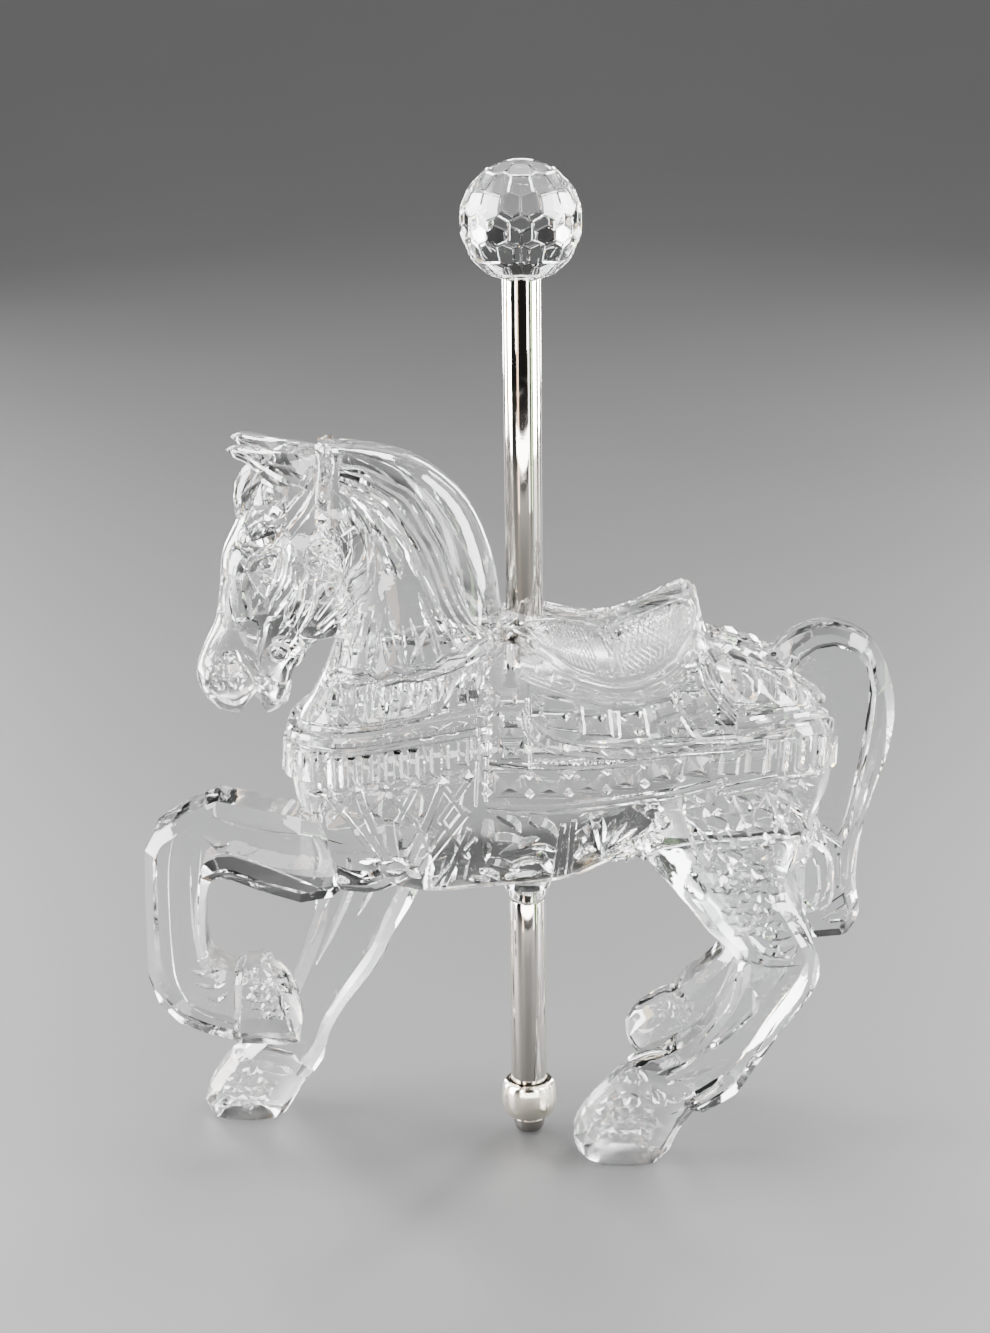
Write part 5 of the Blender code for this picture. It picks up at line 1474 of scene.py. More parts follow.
@dataclass(frozen=True)
class RumpCloth:
    """The cloth behind the saddle: border, leaves, roll and gems, and the facets of the haunch below."""

    borders: tuple[Path, ...] = (
        ((23.0, 67.9), (23.9, 65.0), (26.1, 61.9), (28.7, 59.2)),
        ((23.8, 68.7), (24.8, 65.7), (26.9, 62.6), (29.2, 60.1)),
    )
    leaves: Blades = Blades((
        (24.4, 69.7, 27.8, 63.3, 1.15), (26.3, 70.2, 30.8, 63.6, 1.2), (28.6, 69.7, 33.7, 62.5, 1.2),
        (30.9, 69.2, 36.2, 62.2, 1.1),
    ), Section.LOCK, 1.1, leaf, bow=(0.5, 0.6))
    roll: Stroke = Stroke(
        ((28.0, 59.4), (31.6, 59.9), (35.5, 60.3), (39.4, 60.8)), Section.ROLL, 0.95, 1.2, pace=1.2,
        sink=1.4,
    )
    under_lines: tuple[Path, ...] = (
        ((29.7, 57.8), (33.6, 58.4), (39.1, 59.2)), ((27.7, 60.9), (32.5, 61.7), (38.3, 62.1)),
        ((25.3, 62.9), (29.6, 62.1), (33.5, 62.3)),
    )
    gems: Path = ((33.0, 54.9), (35.2, 55.0), (37.2, 55.3), (38.9, 55.5), (40.5, 55.6))
    gem: Path = ((0.0, -1.2), (0.0, 0.5), (0.35, 1.1), (0.5, 1.15))
    hem: Stroke = Stroke(((31.7, 51.3), (35.6, 51.7), (39.0, 52.2)), Section.ROLL, 0.35, 0.6, pace=1.1)
    facet_start: Point = (19.4, 49.3)
    facet_along: Point = (2.05, 0.3)
    facet_down: Point = (1.15, -2.35)
    columns: int = 9
    rows: int = 6
    crumple: Path = (
        (26.6, 38.5), (29.0, 38.9), (31.6, 38.5), (34.1, 38.1), (26.1, 35.9), (28.6, 36.2), (31.0, 35.8),
        (33.5, 35.5), (28.0, 33.6), (30.3, 33.2), (32.6, 33.4), (32.1, 31.0), (34.1, 29.9), (36.0, 31.5),
    )
    bars: Blades = Blades((
        (29.7, 55.7, 31.0, 52.1, 0.35), (20.1, 50.1, 23.6, 38.6, 0.42), (27.4, 51.1, 29.9, 43.8, 0.42),
        (31.8, 50.5, 35.8, 42.7, 0.5), (34.2, 50.5, 38.2, 43.7, 0.5), (23.1, 44.4, 27.0, 39.6, 0.35),
        (19.1, 47.0, 25.0, 48.0, 0.3), (24.1, 40.7, 35.8, 43.7, 0.35),
    ), Section.ROOF, 0.7, spindle, 1.5)

    def carve(self, carver: Carver) -> None:
        """Carve the cloth and the haunch on one side.

        Args:
            carver: The carver of that side.
        """
        for path in self.borders:
            carver.draw(Stroke(path, Section.ROLL, 0.32, 0.65, pace=1.1))
        carver.draw(*self.leaves.strokes(), self.roll)
        for path in self.under_lines:
            carver.draw(Stroke(path, Section.ROLL, 0.28, 0.55, spindle, 1.1))
        for i, place in enumerate(self.gems):
            carver.stud(place, Stud(0.84 - 0.05 * i, 2.2, self.gem), 4.0)
        carver.draw(self.hem)
        if carver.plain:
            return
        self.cut_haunch(carver)
        carver.draw(*self.bars.strokes())

    def cut_haunch(self, carver: Carver) -> None:
        """Carve the rows of sloping diamonds on the haunch and the rough facets below them.

        Args:
            carver: The carver of one side.
        """
        def corner(column: float, row: float) -> Point:
            """Return a corner of the diamonds, swayed a little."""
            waves = (4.1 * column + 2.3 * row, 2.9 * column - 3.7 * row)
            lattice = zip(self.facet_start, self.facet_along, self.facet_down, waves)
            return tuple(
                start + column * along + row * down + 0.4 * math.sin(wave)
                for start, along, down, wave in lattice
            )

        for row in range(self.rows):
            for column in range(self.columns - row):
                middles = ((0.5, 0.0), (1.0, 0.5), (0.5, 1.0), (0.0, 0.5))
                corners = [corner(column + a, row + b) for a, b in middles]
                carver.facet(corners, rise=0.12, top=0.3, crown=0.6 if (row + column) % 2 else 0.35)
        for i, place in enumerate(self.crumple):
            corners = rough_corners(place, (1.25, 1.05), 1.3 * i, (0.0, 1.4, 2.7, 4.3, 5.2))
            carver.facet(corners, rise=0.1, top=0.5, crown=0.35)


@dataclass(frozen=True)
class LegsAndTail:
    """The lines on the legs and the recesses and ridges of the tail."""

    field: Path = (
        (35.1, 66.3), (36.6, 69.0), (38.7, 70.5), (41.2, 70.9), (43.9, 70.0), (45.9, 67.7), (46.7, 63.9),
        (46.4, 59.1), (45.6, 53.5), (44.6, 48.3), (43.7, 44.1), (42.6, 41.4), (40.5, 42.8), (38.7, 44.2),
        (40.5, 51.0), (41.0, 55.6), (39.8, 59.2), (38.3, 62.3),
    )
    arch: Path = (
        (36.0, 37.1), (36.4, 39.3), (37.6, 40.1), (39.0, 39.9), (39.8, 38.4), (40.0, 35.4), (39.1, 32.2),
        (37.5, 33.6),
    )
    slit: Path = ((41.9, 40.9), (42.5, 40.9), (42.7, 35.2), (42.0, 35.1))
    corner: Path = ((40.1, 31.0), (41.7, 32.1), (43.6, 33.5), (44.0, 31.9), (43.4, 30.7), (41.2, 30.4))
    frame: Stroke = Stroke(
        ((35.1, 39.0), (35.8, 41.2), (38.2, 42.4), (40.4, 40.9), (41.3, 38.4), (41.3, 34.1), (40.4, 32.2)),
        Section.ROOF, 0.4, 0.4, spindle,
    )
    # middle of a rough patch, its reach along and up, size of one facet
    crumples: Path = (
        (12.9, 2.2, 5.2, 5.0, 1.6), (-39.1, 6.4, 4.2, 3.2, 1.4), (-35.8, 19.8, 3.0, 3.6, 1.3),
        (19.2, 18.3, 3.4, 2.6, 1.3), (-39.6, 67.2, 2.6, 3.0, 1.2), (30.6, 33.3, 4.2, 5.6, 1.6),
        (-34.9, 65.7, 1.8, 1.8, 1.1),
    )
    near_grooves: tuple[Path, ...] = (
        (
            (-47.7, 44.1), (-48.5, 39.7), (-48.7, 33.4), (-48.6, 27.0), (-48.1, 22.5), (-45.9, 18.5),
            (-40.6, 16.1),
        ),
        ((-44.0, 42.8), (-44.5, 37.2), (-44.9, 31.4), (-44.6, 27.0), (-42.7, 23.7)),
        ((-42.6, 47.0), (-38.3, 45.3), (-33.7, 44.5), (-29.0, 43.9), (-24.4, 42.6)),
        ((-42.5, 42.2), (-37.3, 40.5), (-31.6, 37.9), (-26.4, 35.5)),
        ((-45.6, 39.7), (-45.7, 33.4), (-45.5, 28.2)),
        ((28.6, 23.1), (27.8, 18.6), (25.1, 14.7), (23.4, 12.2)),
        ((29.5, 23.5), (28.7, 18.6), (26.3, 14.2), (24.3, 11.7)),
        ((37.6, 23.0), (33.2, 16.6), (29.7, 10.7), (27.5, 7.7)),
        ((38.5, 22.5), (34.2, 15.6), (30.6, 9.7), (28.9, 6.7)), ((17.9, 8.3), (21.6, 9.8), (23.4, 11.2)),
        ((19.8, 1.7), (23.4, 3.7), (27.5, 6.7)),
    )
    # the path and half the width of each line
    near_ridges: tuple[tuple[Path, float], ...] = (
        (((-43.6, 44.1), (-41.9, 42.8), (-40.2, 43.1)), 0.6),
        (((-29.0, 43.9), (-28.2, 40.8), (-29.0, 37.6)), 0.5),
        (((-39.7, 25.0), (-40.1, 20.4), (-40.0, 15.2)), 0.45),
        (((-35.5, 25.2), (-34.2, 20.4), (-32.8, 15.1)), 0.4),
        (((-46.2, 24.4), (-43.9, 23.7), (-41.8, 24.3)), 0.5),
        (((-45.7, 22.4), (-43.4, 21.8), (-41.6, 22.4)), 0.4),
        (((-44.6, 20.5), (-42.6, 19.8), (-41.3, 21.1)), 0.4),
        (((-39.9, 20.4), (-36.9, 19.7), (-33.9, 20.4)), 0.4),
        (((29.5, 25.5), (33.1, 24.5), (37.6, 24.4)), 0.6),
        (((31.2, 29.9), (33.9, 28.4), (37.5, 29.3)), 0.6),
        (((29.4, 29.9), (32.2, 26.4), (35.8, 25.4)), 0.5),
        (((30.9, 20.6), (31.4, 18.6), (31.0, 16.6)), 0.5), (((19.3, 6.3), (22.5, 7.7), (25.7, 8.7)), 0.5),
        (((20.2, 3.7), (23.9, 5.2), (27.0, 7.7)), 0.5), (((33.1, 27.4), (34.9, 26.4), (36.6, 27.4)), 0.6),
        (((35.7, 31.3), (37.5, 29.3), (38.9, 26.4)), 0.5),
    )
    far_ridges: tuple[tuple[Path, float], ...] = (
        (((-24.4, 35.6), (-24.6, 30.0), (-27.4, 22.6), (-30.6, 16.0)), 0.6),
        (((-21.6, 34.0), (-21.8, 29.0), (-24.4, 23.4)), 0.5),
        (((-36.6, 11.8), (-34.4, 10.4), (-32.6, 8.2)), 0.8),
        (((33.0, 29.6), (30.6, 25.0), (27.0, 19.6)), 0.6),
        (((30.4, 31.4), (33.0, 32.2), (36.0, 31.6)), 0.6),
        (((24.6, 15.0), (23.0, 14.6), (21.4, 15.4)), 0.6),
    )

    def carve(self, carver: Carver) -> None:
        """Carve the legs and the tail on one side.

        Args:
            carver: The carver of that side.
        """
        carver.window(self.field, depth=0.6, floor=0.94)
        carver.window(self.arch, depth=0.9, floor=0.86)
        carver.window(self.slit, depth=0.6, floor=0.7)
        carver.window(self.corner, depth=0.7, floor=0.8)
        carver.draw(self.frame)
        if carver.side == RIGHT:
            for path, half_width in self.far_ridges:
                carver.draw(Stroke(path, Section.ROOF, half_width, 0.4, spindle))
            return
        for path in self.near_grooves:
            carver.draw(Stroke(path, Section.GROOVE, 0.3, 0.4, spindle, 1.4, sink=0.3))
        for path, half_width in self.near_ridges:
            carver.draw(Stroke(path, Section.ROOF, half_width, 0.5, spindle, 1.1))
        for x, z, along, up, size in self.crumples:
            self.crumple(carver, (x, z), (along, up), size)

    def crumple(self, carver: Carver, middle: Point, reach: Point, size: float) -> None:
        """Press small uneven facets over an oval patch, but none that would reach from one leg to another.

        Args:
            carver: The carver of one side.
            middle: The middle of the patch.
            reach: How far the patch goes along and up.
            size: The size of one facet.
        """
        for row in range(int(2.0 * reach[1] / size) + 1):
            for column in range(int(2.0 * reach[0] / size) + 1):
                x = size * (column + 0.5 * (row % 2)) - reach[0]
                z = size * row - reach[1]
                if (x / reach[0]) ** 2 + (z / reach[1]) ** 2 > 1.0:
                    continue
                place = (middle[0] + x, middle[1] + z)
                half = 0.64 * size
                corners = rough_corners(place, (half, half), 1.7 * row + 2.3 * column, (0.0, 1.5, 2.7, 4.4))
                depths = [carver.skin.point(corner, carver.side).y for corner in corners]
                if max(depths) - min(depths) < size:
                    carver.facet(corners, rise=0.02, top=0.35, crown=0.34)


@dataclass(frozen=True)
class CarvedHorse:
    """The whole horse: one clear moulding with its carving, its bores and its flat soles."""

    rod_bore: float = 4.4 * MM / SHARE
    bore_floor: float = 75.0 - 12.0 * MM / SHARE
    spigot_bore: float = 3.1 * MM / SHARE
    spigot_roof: float = 34.9 + 2.7 * MM / SHARE
    boss_rim: float = 34.9
    boss_radius: float = 5.5 * MM / SHARE
    rod_radius: float = 4.1 * MM / SHARE
    boss_flare: float = 4.0 * MM / SHARE
    boss_edge: float = 0.12
    boss_root: float = 44.0

    def boss(self) -> Form:
        """Return the turned boss under the belly."""
        rim = self.boss_rim
        return spun((
            (0.0, rim), (self.rod_radius - self.boss_edge, rim), (self.rod_radius, rim + self.boss_edge),
            (self.boss_radius, rim + self.boss_flare), (self.boss_radius, self.boss_root),
            (0.0, self.boss_root),
        ), 64)

    def mouth(self) -> Form:
        """Return the notch between the lips."""
        outline = ((-39.0, 60.7), (-36.3, 64.8), (-35.7, 65.5), (-35.2, 64.9), (-33.3, 60.6))
        return drawn_out([[Vector((x, y, z)) for x, z in outline] for y in (-6.0, 6.0)])

    def ground(self) -> Form:
        """Return the block below the floor that cuts the soles flat."""
        block = bmesh.new()
        bmesh.ops.create_cube(block, size=200.0)
        bmesh.ops.translate(block, verts=block.verts, vec=(0.0, 0.0, -100.0))
        return block

    def build(self) -> Piece:
        """Build the horse as one closed object in metres."""
        body = BodyForms().build()
        log.info("plain body: %d faces", len(body.faces))
        saddle = Saddle()
        saddle_forms = saddle.forms()
        skin = Skin([body])
        saddle_skin = Skin([body, *saddle_forms])
        face = Face()
        raised = [*saddle_forms, self.boss(), *face.forelock()]
        set_in: list[Form] = []
        cuts = [
            cylinder(self.rod_bore, self.bore_floor, 90.0, 64),
            cylinder(self.spigot_bore, 30.0, self.spigot_roof, 48),
            self.mouth(),
            self.ground(),
        ]
        for side in (LEFT, RIGHT):
            carver = Carver(skin, side)
            for part in (Mane(), Bridle(), face, Breastplate(), Harness(), RumpCloth(), LegsAndTail()):
                part.carve(carver)
            seat_carver = Carver(saddle_skin, side)
            saddle.carve(seat_carver)
            raised += face.ear(side) + carver.raised + seat_carver.raised
            cuts += [face.hollow(side), *carver.cuts, *seat_carver.cuts]
            set_in += carver.set_in
        log.info("carving: %d raised forms, %d cuts", len(raised), len(cuts))
        whole = combined(combined(combined(body, raised, "UNION"), cuts, "DIFFERENCE"), set_in, "UNION")
        keep_largest(whole)
        bmesh.ops.scale(whole, vec=(SHARE, SHARE, SHARE), verts=whole.verts)
        horse = object_of(whole, "carved_horse")
        shaded(horse, 26.0)
        return horse


@dataclass(frozen=True)
class ChromeRods:
    """The two lengths of plated rod, above the horse's back and below its belly."""

    radius: float = 4.1 * MM
    edge: float = 0.35 * MM
    upper_foot: float = 75.0 * SHARE - 11.7 * MM
    upper_top: float = 200.2 * MM
    lower_foot: float = 8.2 * MM
    lower_top: float = 34.9 * SHARE - 0.3 * MM
    spigot_radius: float = 2.8 * MM
    spigot_length: float = 2.4 * MM
    steps: int = 96

    def bar(self, foot: float, top: float, spigot: bool) -> Form:
        """Turn one rod.

        Args:
            foot: The height of its lower end.
            top: The height of its upper end.
            spigot: Whether its upper end is stepped down.

        Returns:
            The closed form.
        """
        bevel, inset = self.edge, 0.3 * self.edge
        profile = [
            (0.0, foot), (self.radius - bevel, foot),
            (self.radius - inset, foot + inset), (self.radius, foot + bevel),
            (self.radius, top - bevel), (self.radius - inset, top - inset), (self.radius - bevel, top),
        ]
        if spigot:
            step, tip = self.spigot_radius, top + self.spigot_length
            profile += [(step, top), (step, tip - bevel), (step - bevel, tip)]
            top = tip
        return spun([*profile, (0.0, top)], self.steps)

    def build(self) -> tuple[Piece, Piece]:
        """Build both rods, the upper one first."""
        upper = object_of(self.bar(self.upper_foot, self.upper_top, False), "upper_rod")
        lower = object_of(self.bar(self.lower_foot, self.lower_top, True), "lower_rod")
        for rod in (upper, lower):
            shaded(rod, 30.0)
        return upper, lower


@dataclass(frozen=True)
class CutBall:
    """The clear ball with its rows of flat facets, its mould seam, its gate mark and its socket."""

    radius: float = 12.7 * MM
    centre: float = 209.7 * MM
    # the tilt and the count of the facets of each row
    rows: Path = ((0.0, 16.0), (22.5, 16.0), (45.0, 12.0), (67.5, 6.0))
    flat_radius: float = radius * math.cos(math.radians(22.5 / 4.0))
    facet_edge: float = 0.1 * MM
    rim_width: float = 0.24 * MM
    rim_height: float = 0.17 * MM
    seam_bearing: float = 19.0
    seam_width: float = 0.16 * MM
    seam_depth: float = 0.05 * MM
    socket_radius: float = 4.4 * MM
    socket_depth: float = 3.5 * MM
    gate_size: Point = (1.5 * MM, 0.3 * MM, 0.9 * MM)
    gate_edge: float = 0.1 * MM
    gate_bearing: float = 38.0
    gate_place: Point = (0.2 * MM, -0.4 * MM)
    gate_sunk: float = 0.1 * MM

    def facet_directions(self) -> list[Vector]:
        """Return the outward directions of all facets."""
        directions = [Vector((0.0, 0.0, 1.0)), Vector((0.0, 0.0, -1.0))]
        for number, (tilt, count) in enumerate(self.rows):
            rise = math.radians(tilt)
            for i in range(int(count)):
                turn = FULL_TURN * (i + 0.5 * (number % 2)) / count
                x, y = math.cos(rise) * math.cos(turn), math.cos(rise) * math.sin(turn)
                for level in {1.0, -1.0} if tilt else {1.0}:
                    directions.append(Vector((x, y, level * math.sin(rise))))
        return directions

    def build(self) -> Piece:
        """Build the ball as one closed object."""
        bm = bmesh.new()
        bmesh.ops.create_cube(bm, size=2.0 * self.radius)
        for outward in self.facet_directions():
            every = [*bm.verts, *bm.edges, *bm.faces]
            cut = bmesh.ops.bisect_plane(
                bm, geom=every, dist=MM * 1e-4, plane_co=outward * self.flat_radius, plane_no=outward,
                clear_outer=True,
            )
            opened = [edge for edge in cut["geom_cut"] if isinstance(edge, bmesh.types.BMEdge)]
            bmesh.ops.edgenet_fill(bm, edges=opened)
        bevelled(bm, self.facet_edge, 1)
        bmesh.ops.recalc_face_normals(bm, faces=bm.faces)
        facets = [face for face in bm.faces if face.calc_area() > MM * MM]
        bmesh.ops.inset_individual(
            bm, faces=facets, thickness=self.rim_width, depth=-self.rim_height, use_even_offset=True,
        )
        bmesh.ops.translate(bm, vec=(0.0, 0.0, self.centre), verts=bm.verts)
        low = self.centre - self.radius
        socket = cylinder(self.socket_radius, low - self.radius, low + self.socket_depth, 64)
        ball = object_of(combined(bm, [socket, self.gate_mark(), self.seam()], "DIFFERENCE"), "cut_ball")
        shaded(ball, 4.0)
        return ball

    def gate_mark(self) -> Form:
        """Return the short slit that the mould's gate left at the top."""
        slit = bmesh.new()
        bmesh.ops.create_cube(slit, size=1.0)
        bmesh.ops.scale(slit, vec=self.gate_size, verts=slit.verts)
        bevelled(slit, self.gate_edge, 2)
        turn = Matrix.Rotation(math.radians(self.gate_bearing), 3, "Z")
        bmesh.ops.rotate(slit, matrix=turn, verts=slit.verts)
        height = self.centre + self.radius - self.gate_sunk
        bmesh.ops.translate(slit, vec=(*self.gate_place, height), verts=slit.verts)
        return slit

    def seam(self) -> Form:
        """Return the ring that presses the fine mould seam into the facets."""
        half = self.seam_width / 2.0
        outer, inner = self.radius * 1.03, self.flat_radius - self.seam_depth
        profile = ((outer, -half), (inner + half, -half), (inner, 0.0), (inner + half, half), (outer, half))
        ring = spun(profile, 96, ring=True)
        upright = Matrix.Rotation(math.radians(90.0), 3, "Y")
        turned = Matrix.Rotation(math.radians(self.seam_bearing), 3, "Z") @ upright
        bmesh.ops.rotate(ring, matrix=turned, verts=ring.verts)
        bmesh.ops.translate(ring, vec=(0.0, 0.0, self.centre), verts=ring.verts)
        return ring


@dataclass(frozen=True)
class TurnedBead:
    """The turned end bead: a domed foot, a groove, the round bead and the socket for the rod."""

    widest: float = 6.3 * MM
    height: float = 12.4 * MM
    foot: float = 2.6 * MM
    dome: float = 3.65 * MM
    neck: float = 3.6 * MM
    bore: float = 4.4 * MM
    lip: float = 0.45 * MM
    socket: float = 4.5 * MM
    foot_edge: float = 0.15 * MM
    mouth_edge: float = 0.1 * MM
    dome_steps: int = 12
    round_steps: int = 40

    def build(self) -> Piece:
        """Build the bead as one closed object."""
        profile = [(0.0, 0.0), (self.foot - self.foot_edge, 0.0)]
        for i in range(self.dome_steps + 1):
            angle = 0.5 * math.pi * i / self.dome_steps
            rise = self.neck * 0.85 * (1.0 - math.cos(angle)) + 0.02 * MM
            profile.append((self.foot + (self.dome - self.foot) * math.sin(angle), rise))
        groove = self.dome * 0.88
        profile += [
            (self.dome - 0.08 * MM, self.neck * 0.89), (groove, self.neck * 0.92),
            (groove, self.neck + 0.05 * MM),
        ]
        middle, half = (self.neck + self.height) / 2.0, (self.height - self.neck) / 2.0
        for i in range(1, self.round_steps + 1):
            angle = math.pi * (i / self.round_steps - 0.5)
            low = self.dome if angle < 0.0 else self.bore + self.lip
            radius = low + (self.widest - low) * math.cos(angle) ** 0.8
            profile.append((radius, middle + half * math.sin(angle)))
        floor = self.height - self.socket
        profile += [
            (self.bore + self.mouth_edge, self.height), (self.bore, self.height - self.mouth_edge),
            (self.bore, floor), (0.0, floor),
        ]
        bead = object_of(spun(profile, 96), "turned_bead")
        shaded(bead, 32.0)
        return bead


class NodeBench:
    """Lays out and links the nodes of one material or node group."""

    def __init__(self, tree: Tree) -> None:
        """Work on the given tree."""
        self.tree = tree
        self.count = 0

    def add(self, kind: str, **settings: object) -> bpy.types.Node:
        """Add a node.

        Args:
            kind: The node's type.
            settings: Its properties by name.

        Returns:
            The node.
        """
        node = self.tree.nodes.new(kind)
        node.location = (self.count % 6 * 220.0, self.count // 6 * -320.0)
        self.count += 1
        for name, value in settings.items():
            setattr(node, name, value)
        return node

    def plug(self, target: Socket, source: Socket | float | Sequence[float]) -> None:
        """Link a socket to another, or set its plain value."""
        if isinstance(source, Socket):
            self.tree.links.new(target, source)
        else:
            target.default_value = source

    def maths(self, operation: str, *values: Socket | float, clamp: bool = False) -> Socket:
        """Return the result of a sum of one to three values."""
        node = self.add("ShaderNodeMath", operation=operation, use_clamp=clamp)
        for socket, value in zip(node.inputs, values):
            self.plug(socket, value)
        return node.outputs[0]

    def noise(
        self, vector: Socket, scale: Socket | float, detail: float = 2.0, roughness: float = 0.5,
    ) -> Socket:
        """Return a soft cloud over the given coordinates."""
        node = self.add("ShaderNodeTexNoise")
        self.plug(node.inputs["Vector"], vector)
        self.plug(node.inputs["Scale"], scale)
        node.inputs["Detail"].default_value = detail
        node.inputs["Roughness"].default_value = roughness
        return node.outputs["Fac"]

    def between(
        self, value: Socket, low: float, high: float, to_low: float = 0.0, to_high: float = 1.0,
    ) -> Socket:
        """Return a value stretched smoothly from one range to another."""
        node = self.add("ShaderNodeMapRange", interpolation_type="SMOOTHSTEP")
        ends = {"Value": value, "From Min": low, "From Max": high, "To Min": to_low, "To Max": to_high}
        for name, given in ends.items():
            self.plug(node.inputs[name], given)
        return node.outputs["Result"]

    def blend(
        self, share: Socket, first: Sequence[float], second: Sequence[float],
    ) -> Socket:
        """Return a colour between two colours."""
        node = self.add("ShaderNodeMix", data_type="RGBA")
        self.plug(node.inputs["Factor"], share)
        colours = [socket for socket in node.inputs if socket.type == "RGBA"]
        for socket, colour in zip(colours, (first, second)):
            self.plug(socket, colour if isinstance(colour, Socket) else (*colour, 1.0))
        return next(socket for socket in node.outputs if socket.type == "RGBA")

    def stretched(self, vector: Socket, scale: Point, turn: Point = (0.0, 0.0, 0.0)) -> Socket:
        """Return coordinates turned by degrees and stretched."""
        node = self.add("ShaderNodeMapping")
        self.plug(node.inputs["Vector"], vector)
        node.inputs["Rotation"].default_value = [math.radians(angle) for angle in turn]
        node.inputs["Scale"].default_value = scale
        return node.outputs["Vector"]


def node_group(
    name: str, inputs: dict[str, float], outputs: Sequence[str],
) -> tuple[NodeBench, bpy.types.NodeOutputs, bpy.types.NodeInputs]:
    """Start a node group on the piece's own coordinates.

    Args:
        name: The group's name.
        inputs: Its value inputs with their usual values.
        outputs: Its value outputs.

    Returns:
        The group's bench, the sockets that bring the inputs and the sockets that take the outputs.
    """
    tree = bpy.data.node_groups.new(name, "ShaderNodeTree")
    tree.interface.new_socket("Vector", in_out="INPUT", socket_type="NodeSocketVector")
    for label, value in inputs.items():
        tree.interface.new_socket(label, in_out="INPUT", socket_type="NodeSocketFloat").default_value = value
    for label in outputs:
        tree.interface.new_socket(label, in_out="OUTPUT", socket_type="NodeSocketFloat")
    bench = NodeBench(tree)
    return bench, bench.add("NodeGroupInput").outputs, bench.add("NodeGroupOutput").inputs


def handling_group() -> Tree:
    """Make the group of faint smudges and polishing hairlines that all clear and plated pieces carry."""
    inputs = {"Smudge Size": 110.0, "Hairline": 1.0}
    bench, given, asked = node_group("handling_marks", inputs, ("Smudge", "Height"))
    cloud = bench.noise(given["Vector"], given["Smudge Size"], 3.0, 0.55)
    bench.plug(asked["Smudge"], bench.between(cloud, 0.5, 0.72))
    lines = 0.0
    for turn in ((0.0, 20.0, 35.0), (50.0, -30.0, -20.0)):
        streaks = bench.noise(bench.stretched(given["Vector"], (90.0, 2600.0, 420.0), turn), 1.0, 1.0)
        lines = bench.maths("ADD", lines, bench.between(streaks, 0.66, 0.72))
    bench.plug(asked["Height"], bench.maths("MULTIPLY", lines, given["Hairline"]))
    return bench.tree


def ripple_group() -> Tree:
    """Make the group of slow waves that the mould leaves in clear faces."""
    inputs = {"Wave Size": 160.0, "Fine Share": 0.25}
    bench, given, asked = node_group("mould_ripple", inputs, ("Height", "Cloud"))
    slow = bench.noise(given["Vector"], given["Wave Size"], 1.0, 0.4)
    fine = bench.noise(given["Vector"], bench.maths("MULTIPLY", given["Wave Size"], 4.5), 2.0, 0.5)
    bench.plug(asked["Height"], bench.maths("ADD", slow, bench.maths("MULTIPLY", fine, given["Fine Share"])))
    bench.plug(asked["Cloud"], slow)
    return bench.tree


@dataclass(frozen=True)
class Finish:
    """What every finish shares: its name, its group of handling marks and its polish."""

    marks: Tree
    ripple: Tree
    name: str = "finish"
    roughness: float = 0.03
    smudged: float = 0.08
    ior: float = 1.5

    def start(self) -> tuple[bpy.types.Material, NodeBench, bpy.types.Node, Socket]:
        """Start a material with its own coordinates.

        Returns:
            The material, its bench, its shader and the coordinates.
        """
        material = bpy.data.materials.new(self.name)
        material.use_nodes = True
        bench = NodeBench(material.node_tree)
        shader = material.node_tree.nodes["Principled BSDF"]
        shader.inputs["IOR"].default_value = self.ior
        place = bench.add("ShaderNodeTexCoord").outputs["Object"]
        return material, bench, shader, place

    def grouped(
        self, bench: NodeBench, tree: Tree, vector: Socket, **values: float,
    ) -> bpy.types.NodeOutputs:
        """Place a node group with its own values and return its outputs."""
        node = bench.add("ShaderNodeGroup")
        node.node_tree = tree
        bench.plug(node.inputs["Vector"], vector)
        for label, value in values.items():
            node.inputs[label.replace("_", " ").title()].default_value = value
        return node.outputs

    def polish(self, bench: NodeBench, smudge: Socket) -> Socket:
        """Return the roughness of the polish with its smudges."""
        return bench.maths("MULTIPLY_ADD", smudge, self.smudged, self.roughness)

    def bumped(
        self, bench: NodeBench, shader: bpy.types.Node, heights: Sequence[tuple[Socket, float]],
    ) -> None:
        """Feed heights with their depths in metres to the shader's normal, one after the other."""
        normal = None
        for height, depth in heights:
            bump = bench.add("ShaderNodeBump")
            bump.inputs["Strength"].default_value = 1.0
            bump.inputs["Distance"].default_value = depth
            bench.plug(bump.inputs["Height"], height)
            if normal is not None:
                bench.plug(bump.inputs["Normal"], normal)
            normal = bump.outputs["Normal"]
        bench.plug(shader.inputs["Normal"], normal)


